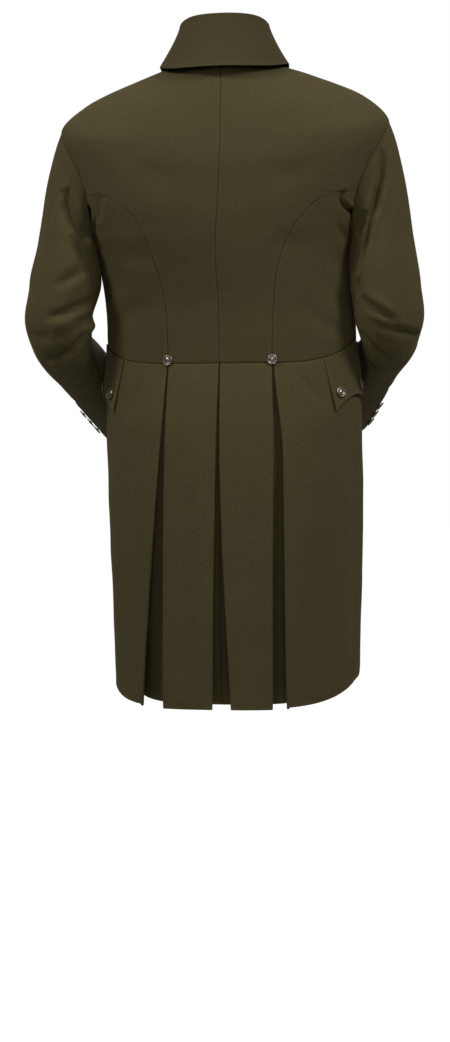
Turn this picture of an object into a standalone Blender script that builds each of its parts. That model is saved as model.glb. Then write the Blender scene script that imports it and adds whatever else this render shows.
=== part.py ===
"""Regency tailcoat in olive cotton twill, worn and hollow, with the arms bent forward.

Frame: metres, +Z up, -Y out of the coat's back, +X to the wearer's right. The origin lies between
the two points where the shoulder seams meet the neckline, on the shoulders that carry the coat.

Two forms carry every piece. The bodice form has an angle round the body, 0 at the centre back, 90 at
the wearer's right side, -90 at the left, 180 at the centre front, and a level, 0 at the waist seam
and 1 at the neckline. The skirt form has the same angle and a drop below the waist seam. Each
sewn piece is a stretch of a form with a cloth wall's thickness.
"""

import math
from collections import namedtuple

import bmesh
import bpy
import numpy as np
from mathutils import Matrix, Vector

# Cloth and seams
CLOTH = 0.0020  # outer cloth and lining together
COLLAR_CLOTH = 0.0022
SHARP_DEG = 40  # a wall's edges are drawn sharp where its faces turn by more than this
SEAM = 0.0003  # gap between two pieces that are sewn together
HALF_SEAM = SEAM / 2
LAID_ON = 0.0004  # gap under a piece that lies on another

# Bodice form, from the waist seam up to the neckline. Lengths in metres, turn in degrees.
Section = namedtuple(
    "Section", "level side_x side_y side_z back_y back_z front_y front_z square shift turn tilt"
)
BODICE = (
    Section(0.00, 0.2070, 0.004, -0.457, -0.106, -0.497, 0.126, -0.447, 2.20, 0.0100, 6.0, 0.000),
    Section(0.20, 0.2065, 0.004, -0.397, -0.111, -0.410, 0.130, -0.392, 2.20, 0.0080, 5.0, 0.000),
    Section(0.36, 0.2075, 0.003, -0.335, -0.122, -0.340, 0.136, -0.335, 2.25, 0.0010, 3.0, 0.000),
    Section(0.50, 0.2180, 0.000, -0.285, -0.131, -0.284, 0.139, -0.285, 2.35, -0.0030, 1.0, 0.005),
    Section(0.60, 0.2350, -0.003, -0.232, -0.135, -0.238, 0.136, -0.246, 2.40, -0.0020, 0.0, 0.010),
    Section(0.72, 0.2540, -0.008, -0.168, -0.135, -0.182, 0.127, -0.202, 2.40, 0.0005, 0.0, 0.018),
    Section(0.82, 0.2705, -0.014, -0.106, -0.128, -0.134, 0.113, -0.166, 2.35, 0.0015, 0.0, 0.024),
    Section(0.88, 0.2275, -0.014, -0.061, -0.118, -0.096, 0.100, -0.136, 2.30, 0.0010, 0.0, 0.028),
    Section(0.94, 0.1510, -0.012, -0.027, -0.103, -0.052, 0.084, -0.110, 2.15, 0.0010, 0.0, 0.026),
    Section(1.00, 0.0860, -0.008, -0.003, -0.088, -0.014, 0.070, -0.086, 2.00, 0.0000, 0.0, 0.020),
)
HEIGHT_FLAT = 2.0  # how long each ring keeps the back's or front's height before the side's

# Skirt form, from the waist seam down. Its first row is the bodice's waist ring.
Drop = namedtuple("Drop", "drop side_x side_y back_y front_y square shift turn")
SKIRT = (
    Drop(0.000, 0.2070, 0.004, -0.106, 0.126, 2.20, 0.0100, 6.0),
    Drop(0.050, 0.2095, 0.004, -0.122, 0.130, 2.22, 0.0118, 6.2),
    Drop(0.120, 0.2120, 0.003, -0.138, 0.136, 2.25, 0.0142, 6.5),
    Drop(0.240, 0.2115, 0.002, -0.148, 0.138, 2.25, 0.0162, 7.0),
    Drop(0.400, 0.2075, 0.002, -0.153, 0.138, 2.20, 0.0180, 7.5),
    Drop(0.560, 0.2020, 0.002, -0.156, 0.138, 2.15, 0.0205, 8.0),
)
# Where the hem and the cut-away front edge cross the skirt form
HEM_ANGLES = (0, 45, 70, 90, 97, 104, 113, 124, 136, 148, 157, 166)
HEM_DROPS = (0.558, 0.555, 0.556, 0.549, 0.538, 0.500, 0.428, 0.330, 0.225, 0.130, 0.070, 0.014)
SKIRT_FRONT_LIMIT = 166  # the skirt's front edge meets the waist seam just short of this
SKIRT_ROWS = 10

# Seams on the bodice back: distance from the centre back seam at heights on the side-back curve
CURVE_Z = (-0.500, -0.437, -0.392, -0.355, -0.325, -0.300, -0.277, -0.256, -0.240, -0.228, -0.2205, -0.215)
CURVE_X = (0.0850, 0.0865, 0.0897, 0.0955, 0.1045, 0.1130, 0.1245, 0.1390, 0.1540, 0.1710, 0.1940, 0.2250)
SIDE_SEAM_ANGLE = 97  # under the arm, a little in front of the side
SIDE_SEAM_BEND = 0.36  # the level above which it runs in to the armhole's lowest point
SIDE_BACK_TIP_DEG = 0.4  # width left at the side back's upper point
CURVE_GUESS_DEG, CURVE_ROUNDS = 40.0, 6  # to find the angle at which a ring meets the curve
BACK_COLUMNS, SIDE_BACK_COLUMNS, FRONT_COLUMNS = 8, 7, 12
LOW_ROWS, MIDDLE_ROWS, SHOULDER_ROWS = 5, 3, 6  # below the seam's bend, up to the armhole, above it

# Armhole, an oval on the bodice form about the side
ARMHOLE_LOW, ARMHOLE_HIGH = 0.48, 0.82
ARMHOLE_MID = (ARMHOLE_LOW + ARMHOLE_HIGH) / 2
ARMHOLE_HALF = (ARMHOLE_HIGH - ARMHOLE_LOW) / 2
ARMHOLE_BACK_DEG, ARMHOLE_FRONT_DEG = 25, 28
ARMHOLE_STEP_DEG = 15
SLEEVE_SHARES = (0, 0.07, 0.15, 0.22, 0.29, 0.36, 0.43, 0.5, 0.55, 0.6, 0.66, 0.72, 0.8, 0.88, 0.94, 1)
CAP_FULLNESS = 0.042  # how far the sleeve head swells out of the shoulder before it falls

# Centre front: the left front laps over the right by this on each side of the middle
FRONT_LAP_DEG = 9
LAP_RISE = CLOTH + 0.0012
LAP_FADE_DEG = 16

# Sleeves: rings below the armhole. Bend is the arm's slope forward from straight down, and toe is how
# far the ring's long axis leans in at the back, both in degrees.
Ring = namedtuple("Ring", "share x y z half_width half_depth bend toe")
RIGHT_SLEEVE = (
    Ring(0.22, 0.2600, -0.014, -0.302, 0.0520, 0.074, -9, 14),
    Ring(0.36, 0.2625, -0.026, -0.362, 0.0585, 0.073, -9, 24),
    Ring(0.50, 0.2710, -0.030, -0.420, 0.0545, 0.070, 8, 22),
    Ring(0.60, 0.2705, -0.008, -0.456, 0.0460, 0.062, 34, 12),
    Ring(0.72, 0.2470, 0.064, -0.486, 0.0430, 0.053, 57, 0),
    Ring(0.88, 0.2120, 0.150, -0.533, 0.0450, 0.048, 62, 0),
    Ring(1.00, 0.1910, 0.205, -0.566, 0.0440, 0.047, 62, 0),
)
LEFT_SLEEVE = (
    Ring(0.22, 0.2600, -0.014, -0.302, 0.0500, 0.074, -9, 14),
    Ring(0.36, 0.2620, -0.026, -0.362, 0.0580, 0.073, -9, 24),
    Ring(0.50, 0.2723, -0.030, -0.420, 0.0545, 0.070, 8, 22),
    Ring(0.60, 0.2690, -0.008, -0.458, 0.0500, 0.063, 34, 12),
    Ring(0.72, 0.2460, 0.064, -0.494, 0.0470, 0.055, 57, 0),
    Ring(0.88, 0.2110, 0.150, -0.545, 0.0460, 0.049, 62, 0),
    Ring(1.00, 0.1890, 0.205, -0.578, 0.0440, 0.047, 62, 0),
)
UPPER_ROOM = 0.0030  # between an upper sleeve and the coat's side, where they all but touch
SIDE_ROOM = 0.0115  # between a forearm and the coat's side, for the flap and its buttons
ROOM_Z = {1: (-0.41, -0.45), -1: (-0.355, -0.41)}  # where the one goes over to the other, each side
SIDE_ROOM_BLEND = 0.004
ARRIVAL = 2.0  # a sleeve head's fullness at its lower end is at most this many times its own length
SHARE_STEP = 0.02
FOREARM_INWARD = 0.34  # how far the arm leans in for each unit that it goes forward
HIND_SEAM_DEG = (-45, -16)  # at the armhole and at the cuff, from the outside of the arm
FORE_SEAM_DEG = (120, 118)

# Collar: fold line and outer edge, on rings like the bodice's
NECK_RING = dict(side_x=0.0860, side_y=-0.008, side_z=-0.003, back_y=-0.088, back_z=-0.014,
                 front_y=0.070, front_z=-0.086)
FOLD_RING = dict(side_x=0.0700, side_y=-0.008, side_z=0.060, back_y=-0.072, back_z=0.070,
                 front_y=0.066, front_z=-0.030)
EDGE_RING = dict(side_x=0.1070, side_y=-0.010, side_z=-0.003, back_y=-0.108, back_z=-0.016,
                 front_y=0.104, front_z=-0.092)
STAND_END_DEG = 162
STAND_RISES = (0.0, 0.35, 0.7, 1.0)
STAND_BEND = 0.10
FALL_SHARES, FALL_COLUMNS = (0.0, 0.12, 0.3, 0.5, 0.7, 0.86, 1.0), 33
FALL_CLEAR = 0.0012  # how far the fall's upper row stands over the stand's edge
FALL_FLARE = 1.25
ROLL_IN, ROLL_UP, ROLL_LEAN = 1.6, 1.1, 0.25  # the roll over the stand, in the cloth's thickness
FALL_END_DEG = (158, 146)  # at the fold line and at the outer edge

# Pleats: distance of each folded edge from the centre back, at three drops
FOLD_DROPS = (0.0, 0.158, 0.558)
LEFT_PLEAT = dict(front=(0.0868, 0.0994, 0.1305), tail=(0.0856, 0.0903, 0.0930))
RIGHT_PLEAT = dict(front=(0.0868, 0.1050, 0.1105), tail=(0.0856, 0.0905, 0.0895))
CENTRE_PLEAT = dict(left=(0.0006, 0.0030, 0.0075), right=(0.0006, 0.0031, 0.0225))
PLEAT_DEPTH = 0.034  # how far each return runs under its panel
FOLD_RADIUS = 0.0015
PLEAT_OPEN = 0.024  # how much further in the underlay hangs at the hem than at the waist
UNDERLAY_SHORT = 0.008
NEAR_TURNS = (-90, -150, -210, -270)  # round the panel's own fold
FAR_TURNS = (-90, -30, 30, 90)  # round the fold between the return and the underlay
TAIL_COLUMNS = 4

# Pocket flaps
FLAP_REAR_DEG = (51.5, 57.5)  # at the waist seam and at the rear point
FLAP_WIDTH = 0.156
FLAP_DROP, FLAP_SCALLOP, SCALLOP_POWER = 0.091, 0.011, 0.8
FLAP_COLUMNS, FLAP_ROWS = 17, 6
FLAP_SPAN_DEG, FLAP_SPAN_STEPS = 110, 221  # the stretch of skirt on which the flap's width is measured
FLAP_LIFT = 0.0035
FLAP_TOP = 0.0006
FLAP_BUTTON_INSET, FLAP_BUTTON_DROP = 0.014, 0.070

# Buttons
BUTTON_RADIUS, BUTTON_THICK, SHANK_RADIUS, SHANK = 0.0083, 0.0028, 0.0022, 0.0011
BUTTON_STEPS = 12
BUTTON_HEAD = ((0.0, 1.0), (0.62, 0.84), (1.0, 0.45), (0.92, 0.0))  # shares of radius and thickness
BUTTON_SLOPE_STEP = (0.02, 0.05)  # shares of the flap's width and depth, to find which way it faces
WAIST_BUTTON_X, WAIST_BUTTON_LEVEL = 0.0855, 0.012
FRONT_BUTTON_LEVELS = (0.05, 0.24, 0.43, 0.62, 0.80)
CUFF_BUTTON_SHARES = (0.86, 0.905, 0.95)
CUFF_BUTTON_DEG = -9
FRONT_BUTTON_DEG = 179.9

NORMAL_STEP_DEG, NORMAL_STEP = 0.5, 0.004


def smooth(x, knots, values):
    """A cubic through the knots that never overshoots them."""
    knots, values = np.asarray(knots, float), np.asarray(values, float)
    gaps = np.diff(knots)
    rises = np.diff(values) / gaps
    slopes = np.concatenate([[rises[0]], np.zeros(len(knots) - 2), [rises[-1]]])
    same_way = rises[:-1] * rises[1:] > 0
    weights = np.where(same_way, rises[:-1] + rises[1:], 1.0)
    slopes[1:-1] = np.where(same_way, 2 * rises[:-1] * rises[1:] / weights, 0.0)
    x = np.clip(np.asarray(x, float), knots[0], knots[-1])
    i = np.clip(np.searchsorted(knots, x) - 1, 0, len(gaps) - 1)
    t = (x - knots[i]) / gaps[i]
    return (
        (2 * t**3 - 3 * t**2 + 1) * values[i]
        + (t**3 - 2 * t**2 + t) * gaps[i] * slopes[i]
        + (3 * t**2 - 2 * t**3) * values[i + 1]
        + (t**3 - t**2) * gaps[i] * slopes[i + 1]
    )


def columns_at(table, x):
    """Every column of a table but the first, read at x."""
    names = table[0]._fields
    knots = [row[0] for row in table]
    return {
        name: smooth(x, knots, [row[k] for row in table])
        for k, name in enumerate(names)
        if k
    }


def unit(vectors):
    return vectors / np.linalg.norm(vectors, axis=-1, keepdims=True)


def rounded(angle, square):
    """How far towards the side and towards the back or front an angle lies on a squarish ring."""
    turn = np.radians(angle)
    across = np.sign(np.sin(turn)) * np.abs(np.sin(turn)) ** (2 / square)
    return across, np.abs(np.cos(turn)) ** (2 / square)


def height_share(angle):
    """How far a ring's height goes from the side's to the back's or front's: flat round the back."""
    from_end = np.minimum(np.abs(angle), 180 - np.abs(angle)) / 90
    return 0.5 + 0.5 * np.cos(math.pi * np.abs(from_end) ** HEIGHT_FLAT)


def ring_xy(angle, s):
    across, along = rounded(angle, s["square"])
    end = np.where(np.abs(angle) < 90, s["back_y"], s["front_y"])
    x = s["side_x"] * across
    y = s["side_y"] + (end - s["side_y"]) * along
    turn = np.radians(s["turn"])
    return x * np.cos(turn) + y * np.sin(turn) + s["shift"], y * np.cos(turn) - x * np.sin(turn)


def bodice(angle, level):
    """A point of the bodice form."""
    angle, level = np.broadcast_arrays(np.asarray(angle, float), np.asarray(level, float))
    s = columns_at(BODICE, level)
    x, y = ring_xy(angle, s)
    end = np.where(np.abs(angle) < 90, s["back_z"], s["front_z"])
    z = s["side_z"] + (end - s["side_z"]) * height_share(angle) + s["tilt"] * x
    return np.stack([x, y, z], axis=-1)


def skirt(angle, drop):
    """A point of the skirt form."""
    angle, drop = np.broadcast_arrays(np.asarray(angle, float), np.asarray(drop, float))
    x, y = ring_xy(angle, columns_at(SKIRT, drop))
    return np.stack([x, y, bodice(angle, 0.0)[..., 2] - drop], axis=-1)


def normals(form, angle, across, low, high, up=1):
    """The form's outward normals, from small steps along it."""
    step = NORMAL_STEP
    over = form(angle + NORMAL_STEP_DEG, across) - form(angle - NORMAL_STEP_DEG, across)
    rise = form(angle, np.minimum(across + step, high)) - form(
        angle, np.maximum(across - step, low)
    )
    return unit(np.cross(over, up * rise))


def bodice_normals(angle, level):
    found = normals(bodice, angle, np.asarray(level, float), 0.0, 1.0)
    return seam_normals(found, angle, np.asarray(level) <= 1e-9)


def skirt_normals(angle, drop):
    found = normals(skirt, angle, np.asarray(drop, float), 0.0, SKIRT[-1].drop, up=-1)
    return seam_normals(found, angle, np.asarray(drop) <= 1e-9)


def seam_normals(found, angle, at_waist):
    """Along the waist seam both forms take the same normals, so that two walls end face to face."""
    angle = np.broadcast_to(np.asarray(angle, float), found.shape[:-1])
    above = normals(bodice, angle, np.zeros(angle.shape), 0.0, 1.0)
    below = normals(skirt, angle, np.zeros(angle.shape), 0.0, 1.0, up=-1)
    at_waist = np.broadcast_to(at_waist, found.shape[:-1])
    return np.where(at_waist[..., None], unit(above + below), found)


def angle_at(x, side_x, square):
    """The angle on the back of a ring at a distance from the centre back."""
    share = np.clip(np.asarray(x, float) / side_x, 0.0, 1.0)
    return np.degrees(np.arcsin(share ** (square / 2)))


def cloth_material(name, colour, roughness, metallic=0.0):
    material = bpy.data.materials.new(name)
    material.use_nodes = True
    shader = material.node_tree.nodes["Principled BSDF"]
    shader.inputs["Base Color"].default_value = (*colour, 1.0)
    shader.inputs["Roughness"].default_value = roughness
    shader.inputs["Metallic"].default_value = metallic
    return material


def start_scene():
    for obj in list(bpy.data.objects):
        bpy.data.objects.remove(obj)
    coat = bpy.data.collections.new("regency_coat")
    bpy.context.scene.collection.children.link(coat)
    return coat


def wall(coat, name, outer, inner, material):
    """A closed cloth wall between an outer and an inner grid of points."""
    rows, cols = outer.shape[:2]
    mesh = bmesh.new()
    skins = [
        [[mesh.verts.new(point) for point in row] for row in grid] for grid in (outer, inner)
    ]
    for r in range(rows - 1):
        for c in range(cols - 1):
            for skin in skins:
                corners = [skin[r][c], skin[r][c + 1], skin[r + 1][c + 1], skin[r + 1][c]]
                mesh.faces.new(corners if skin is skins[0] else corners[::-1])
    out, back = skins
    for r in range(rows - 1):
        for c in (0, cols - 1):
            mesh.faces.new([out[r][c], out[r + 1][c], back[r + 1][c], back[r][c]])
    for c in range(cols - 1):
        for r in (0, rows - 1):
            mesh.faces.new([out[r][c], out[r][c + 1], back[r][c + 1], back[r][c]])
    bmesh.ops.recalc_face_normals(mesh, faces=mesh.faces)
    data = bpy.data.meshes.new(name)
    mesh.to_mesh(data)
    mesh.free()
    data.shade_smooth()
    data.set_sharp_from_angle(angle=math.radians(SHARP_DEG))
    piece = bpy.data.objects.new(name, data)
    piece.data.materials.append(material)
    coat.objects.link(piece)
    return piece


def cloth_piece(coat, name, points, outward, material, thickness=CLOTH):
    return wall(coat, name, points, points - thickness * outward, material)


def spread(low, high, count):
    """A grid whose rows run from low to high, which are arrays, in count columns."""
    share = np.linspace(0.0, 1.0, count)
    return low[:, None] + (high - low)[:, None] * share[None, :]


# Armhole and sleeve


def armhole(side, turn):
    """Angle and level on the bodice of the armhole, from the shoulder point round the front."""
    turn = np.radians(turn)
    reach = np.where(np.sin(turn) > 0, ARMHOLE_FRONT_DEG, ARMHOLE_BACK_DEG)
    angle = 90 + reach * np.sin(turn)
    level = ARMHOLE_MID + ARMHOLE_HALF * np.cos(turn)
    return side * angle, level


def armhole_limit(level, front):
    """How many degrees from the side the armhole reaches at a level."""
    share = np.clip((np.asarray(level) - ARMHOLE_MID) / ARMHOLE_HALF, -1, 1)
    reach = ARMHOLE_FRONT_DEG if front else ARMHOLE_BACK_DEG
    return reach * np.sqrt(1 - share**2)


def sleeve_ring(side, turn, share):
    """A point of the sleeve below the biceps line, on rings square to the arm's own line."""
    table = RIGHT_SLEEVE if side > 0 else LEFT_SLEEVE
    s = columns_at(table, share)
    centre = np.stack([s["x"], s["y"], s["z"]], axis=-1)
    bend = np.radians(s["bend"])
    inward = FOREARM_INWARD * np.maximum(np.sin(bend), 0.0)
    along = unit(np.stack([-inward, np.sin(bend), -np.cos(bend)], axis=-1))
    forward = np.array([0.0, 1.0, 0.0])
    fore = unit(forward - (along @ forward)[..., None] * along)
    outer = np.cross(along, fore)
    toe = np.radians(s["toe"])[..., None]
    fore, outer = fore * np.cos(toe) + outer * np.sin(toe), outer * np.cos(toe) - fore * np.sin(toe)
    turn = np.radians(turn)[..., None]
    point = (
        centre
        + outer * s["half_width"][..., None] * np.cos(turn)
        + fore * s["half_depth"][..., None] * np.sin(turn)
    )
    # The sleeve lies flat against the coat's side where the two meet
    nearest = coat_side(side, point[..., 1], point[..., 2]) + side_room(side, point[..., 2])
    over = point[..., 0] - nearest
    point[..., 0] = nearest + 0.5 * (over + np.sqrt(over**2 + SIDE_ROOM_BLEND**2))
    return point * np.array([side, 1.0, 1.0])


def side_room(side, z):
    """The room that a sleeve keeps from the coat's side at a height."""
    start, end = ROOM_Z[side]
    t = np.clip((start - z) / (start - end), 0.0, 1.0)
    return UPPER_ROOM + (SIDE_ROOM - UPPER_ROOM) * t * t * (3 - 2 * t)


def coat_side(side, y, z):
    """How far out the coat's side lies at a place beside it, above or below the waist seam, worked
    out without its turn's effect on the height."""
    heights = [row.side_z for row in BODICE]
    above = columns_at(BODICE, np.interp(z, heights, [row.level for row in BODICE]))
    below = columns_at(SKIRT, BODICE[0].side_z - z)
    s = {name: np.where(z > BODICE[0].side_z, above[name], below[name]) for name in below}
    turn = np.radians(s["turn"])
    y = y * np.cos(turn) + side * s["side_x"] * np.sin(turn)
    end = np.where(y < s["side_y"], s["back_y"], s["front_y"])
    share = np.clip((y - s["side_y"]) / (end - s["side_y"]), 0.0, 1.0)
    x = s["side_x"] * (1 - share ** s["square"]) ** (1 / s["square"])
    return x * np.cos(turn) + side * (y * np.sin(turn) + s["shift"])


def sleeve(side, turn, share):
    """A point of the sleeve form: turn runs from the outside of the arm round its front."""
    turn, share = np.broadcast_arrays(np.asarray(turn, float), np.asarray(share, float))
    start = bodice(*armhole(side, turn))
    first = LEFT_SLEEVE[0].share
    t = np.clip(share / first, 0.0, 1.0)[..., None]
    below = sleeve_ring(side, turn, np.full(turn.shape, first))
    after = sleeve_ring(side, turn, np.full(turn.shape, first + SHARE_STEP))
    swell = CAP_FULLNESS * np.maximum(np.cos(np.radians(turn)), 0.0)
    leave = below - start + swell[..., None] * np.array([side, 0.0, 0.0])
    arrive = (after - below) / SHARE_STEP * first
    span = np.linalg.norm(below - start, axis=-1, keepdims=True)
    arrive = arrive * np.minimum(1.0, ARRIVAL * span / np.linalg.norm(arrive, axis=-1, keepdims=True))
    cap = (
        (2 * t**3 - 3 * t**2 + 1) * start
        + (t**3 - 2 * t**2 + t) * leave
        + (3 * t**2 - 2 * t**3) * below
        + (t**3 - t**2) * arrive
    )
    return np.where(share[..., None] < first, cap, sleeve_ring(side, turn, share))


def sleeve_normals(side, turn, share):
    turn, share = np.broadcast_arrays(np.asarray(turn, float), np.asarray(share, float))
    step = NORMAL_STEP
    over = sleeve(side, turn + 1, share) - sleeve(side, turn - 1, share)
    down = sleeve(side, turn, np.minimum(share + step, 1)) - sleeve(
        side, turn, np.maximum(share - step, 0)
    )
    found = unit(np.cross(down, over)) * side
    at_armhole = share <= 1e-9
    return np.where(at_armhole[..., None], armhole_normals(side, turn, found), found)


def armhole_normals(side, turn, sleeve_way=None):
    """The direction shared by the sleeve's and the bodice's edges round the armhole."""
    turn = np.asarray(turn, float)
    if sleeve_way is None:
        over = sleeve(side, turn + 1, 0.0) - sleeve(side, turn - 1, 0.0)
        down = sleeve(side, turn, NORMAL_STEP) - sleeve(side, turn, 0.0)
        sleeve_way = unit(np.cross(down, over)) * side
    angle, level = armhole(side, turn)
    return unit(sleeve_way + normals(bodice, angle, level, 0.0, 1.0))


def sleeve_piece(coat, name, side, first, last, material):
    """A sleeve panel between two seams, each given by its turn at the armhole and at the cuff."""
    shares = np.array(SLEEVE_SHARES, float)
    columns = (last[0] - first[0]) // ARMHOLE_STEP_DEG + 1
    low = first[0] + (first[1] - first[0]) * shares
    high = last[0] + (last[1] - last[0]) * shares
    turns = spread(low, high, columns)
    grid = np.broadcast_to(shares[:, None], turns.shape)
    points = sleeve(side, turns, grid)
    outward = sleeve_normals(side, turns, grid)
    points = pull_in(points, rows=(HALF_SEAM, 0.0), cols=(HALF_SEAM, HALF_SEAM))
    return cloth_piece(coat, name, points, outward, material)


def pull_in(points, rows=(0.0, 0.0), cols=(0.0, 0.0)):
    """The grid with its first and last rows and columns moved in along the cloth, for a seam's gap."""
    moved = points.copy()
    moved[0] += rows[0] * unit(points[1] - points[0])
    moved[-1] += rows[1] * unit(points[-2] - points[-1])
    moved[:, 0] += cols[0] * unit(points[:, 1] - points[:, 0])
    moved[:, -1] += cols[1] * unit(points[:, -2] - points[:, -1])
    return moved


# Bodice


def curve_angle(level):
    """The angle of the curved side-back seam at a level below the armhole."""
    level = np.asarray(level, float)
    s = columns_at(BODICE, level)
    angle = np.full(level.shape, CURVE_GUESS_DEG)
    for _ in range(CURVE_ROUNDS):
        z = bodice(angle, level)[..., 2]
        angle = angle_at(smooth(z, CURVE_Z, CURVE_X), s["side_x"], s["square"])
    return angle


def between(low, high, count):
    return np.linspace(low, high, count + 1)[:-1]


def bodice_levels():
    """The rows of every bodice panel, at equal turns along the armhole."""
    turns = np.radians(np.arange(180, -1, -ARMHOLE_STEP_DEG))
    return np.concatenate(
        [
            between(0.0, SIDE_SEAM_BEND, LOW_ROWS),
            between(SIDE_SEAM_BEND, ARMHOLE_LOW, MIDDLE_ROWS),
            ARMHOLE_MID + ARMHOLE_HALF * np.cos(turns),
            np.linspace(ARMHOLE_HIGH, 1.0, SHOULDER_ROWS + 1)[1:],
        ]
    )


def edge_on_armhole(levels, outward, column, side, front, reached):
    """Gives a panel's edge column the directions that it shares with the sleeve."""
    share = np.clip((levels - ARMHOLE_MID) / ARMHOLE_HALF, -1, 1)
    turn = np.degrees(np.arccos(share)) * (1 if front else -1)
    here = reached & (levels <= ARMHOLE_HIGH + 1e-9)
    outward[here, column] = armhole_normals(side, turn)[here]


def back_piece(coat, side, material):
    """The back runs out along the curved seam, then along the armhole from the seam's top."""
    levels = bodice_levels()
    reached = levels >= ARMHOLE_MID - 1e-9
    limit = np.where(reached, 90 - armhole_limit(levels, False), curve_angle(levels))
    limit[np.argmax(reached)] -= SIDE_BACK_TIP_DEG
    angles = side * spread(np.zeros(levels.shape), limit, BACK_COLUMNS)
    grid = np.broadcast_to(levels[:, None], angles.shape)
    points, outward = bodice(angles, grid), bodice_normals(angles, grid)
    edge_on_armhole(levels, outward, -1, side, False, reached)
    outward[-1] = neck_normals(angles[-1])
    points = pull_in(points, rows=(HALF_SEAM, HALF_SEAM), cols=(HALF_SEAM, HALF_SEAM))
    return cloth_piece(coat, f"back_{name_of(side)}", points, outward, material)


def side_back_piece(coat, side, material):
    """The side back narrows to a point where the curved seam meets the armhole."""
    levels = bodice_levels()
    levels = levels[levels <= ARMHOLE_MID + 1e-9]
    reached = levels >= ARMHOLE_LOW - 1e-9
    limit = np.where(reached, 90 - armhole_limit(levels, False), side_seam(levels))
    start = curve_angle(levels)
    start[-1] = limit[-1] - SIDE_BACK_TIP_DEG
    angles = side * spread(start, limit, SIDE_BACK_COLUMNS)
    grid = np.broadcast_to(levels[:, None], angles.shape)
    points, outward = bodice(angles, grid), bodice_normals(angles, grid)
    edge_on_armhole(levels, outward, -1, side, False, reached)
    outward[-1] = outward[-1, -1]
    points = pull_in(points, rows=(HALF_SEAM, HALF_SEAM), cols=(HALF_SEAM, HALF_SEAM))
    return cloth_piece(coat, f"side_back_{name_of(side)}", points, outward, material)


def side_seam(levels):
    """The side seam, which runs up to the lowest point of the armhole."""
    rise = np.clip((levels - SIDE_SEAM_BEND) / (ARMHOLE_LOW - SIDE_SEAM_BEND), 0, 1)
    return SIDE_SEAM_ANGLE + (90 - SIDE_SEAM_ANGLE) * rise


def front_piece(coat, side, material):
    levels = bodice_levels()
    reached = levels >= ARMHOLE_LOW - 1e-9
    start = np.where(reached, 90 + armhole_limit(levels, True), side_seam(levels))
    end = np.full(levels.shape, 180.0 + FRONT_LAP_DEG)
    angles = spread(start, end, FRONT_COLUMNS)
    grid = np.broadcast_to(levels[:, None], angles.shape)
    points, outward = bodice_round(side, angles, grid)
    edge_on_armhole(levels, outward, 0, side, True, reached)
    on_stand = angles[-1] <= STAND_END_DEG + 1e-9
    outward[-1, on_stand] = neck_normals(side * angles[-1, on_stand])
    lap = np.clip((angles - (180 - FRONT_LAP_DEG - LAP_FADE_DEG)) / LAP_FADE_DEG, 0, 1)
    if side < 0:
        points = points + (LAP_RISE * lap * lap * (3 - 2 * lap))[..., None] * outward
    points = pull_in(points, rows=(HALF_SEAM, HALF_SEAM), cols=(HALF_SEAM, 0.0))
    return cloth_piece(coat, f"front_{name_of(side)}", points, outward, material)


def bodice_round(side, angles, levels):
    """Form points and normals for one side, with angles that may run past the centre front."""
    over = angles > 180
    wrapped = np.where(over, angles - 360, angles)
    return bodice(side * wrapped, levels), bodice_normals(side * wrapped, levels)


def name_of(side):
    return "right" if side > 0 else "left"


# Collar


def collar_ring(ring, angle):
    across, along = rounded(angle, 2.0)
    back = np.abs(angle) < 90
    x = ring["side_x"] * across
    y = ring["side_y"] + (np.where(back, ring["back_y"], ring["front_y"]) - ring["side_y"]) * along
    end = np.where(back, ring["back_z"], ring["front_z"])
    z = ring["side_z"] + (end - ring["side_z"]) * height_share(angle)
    return np.stack([x, y, z + BODICE[-1].tilt * x], axis=-1)


def stand(angle, rise):
    """The collar's stand, from the neckline up to the fold line."""
    angle, rise = np.broadcast_arrays(np.asarray(angle, float), np.asarray(rise, float))
    low, high = collar_ring(NECK_RING, angle), collar_ring(FOLD_RING, angle)
    point = low + (high - low) * rise[..., None]
    point[..., :2] += (high - low)[..., :2] * (STAND_BEND * np.sin(math.pi * rise))[..., None]
    return point


def neck_normals(angle):
    angle = np.asarray(angle, float)
    up = stand(angle, np.full(angle.shape, 0.03)) - stand(angle, np.zeros(angle.shape))
    over = stand(angle + 0.5, np.zeros(angle.shape)) - stand(angle - 0.5, np.zeros(angle.shape))
    level = np.ones(angle.shape)
    return unit(unit(np.cross(over, up)) + normals(bodice, angle, level, 0.0, 1.0))


def neckline_angles():
    """The angles at which the back's and front's columns reach the neckline."""
    back = np.linspace(0, 90, BACK_COLUMNS)
    front = np.linspace(90, 180 + FRONT_LAP_DEG, FRONT_COLUMNS)[1:]
    return np.concatenate([back, front[front <= STAND_END_DEG + 1e-9]])


def stand_piece(coat, material):
    half = neckline_angles()
    angles = np.concatenate([-half[:0:-1], half])
    rises = np.array(STAND_RISES)
    grid_a = np.broadcast_to(angles[None, :], (len(rises), len(angles)))
    grid_r = np.broadcast_to(rises[:, None], grid_a.shape)
    points = stand(grid_a, grid_r)
    over = stand(grid_a + 0.5, grid_r) - stand(grid_a - 0.5, grid_r)
    up = stand(grid_a, grid_r + SHARE_STEP) - stand(grid_a, grid_r - SHARE_STEP)
    outward = unit(np.cross(over, up))
    outward[0] = neck_normals(angles)
    points = pull_in(points, rows=(HALF_SEAM, 0.0))
    return cloth_piece(coat, "collar_stand", points, outward, material, COLLAR_CLOTH)


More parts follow.
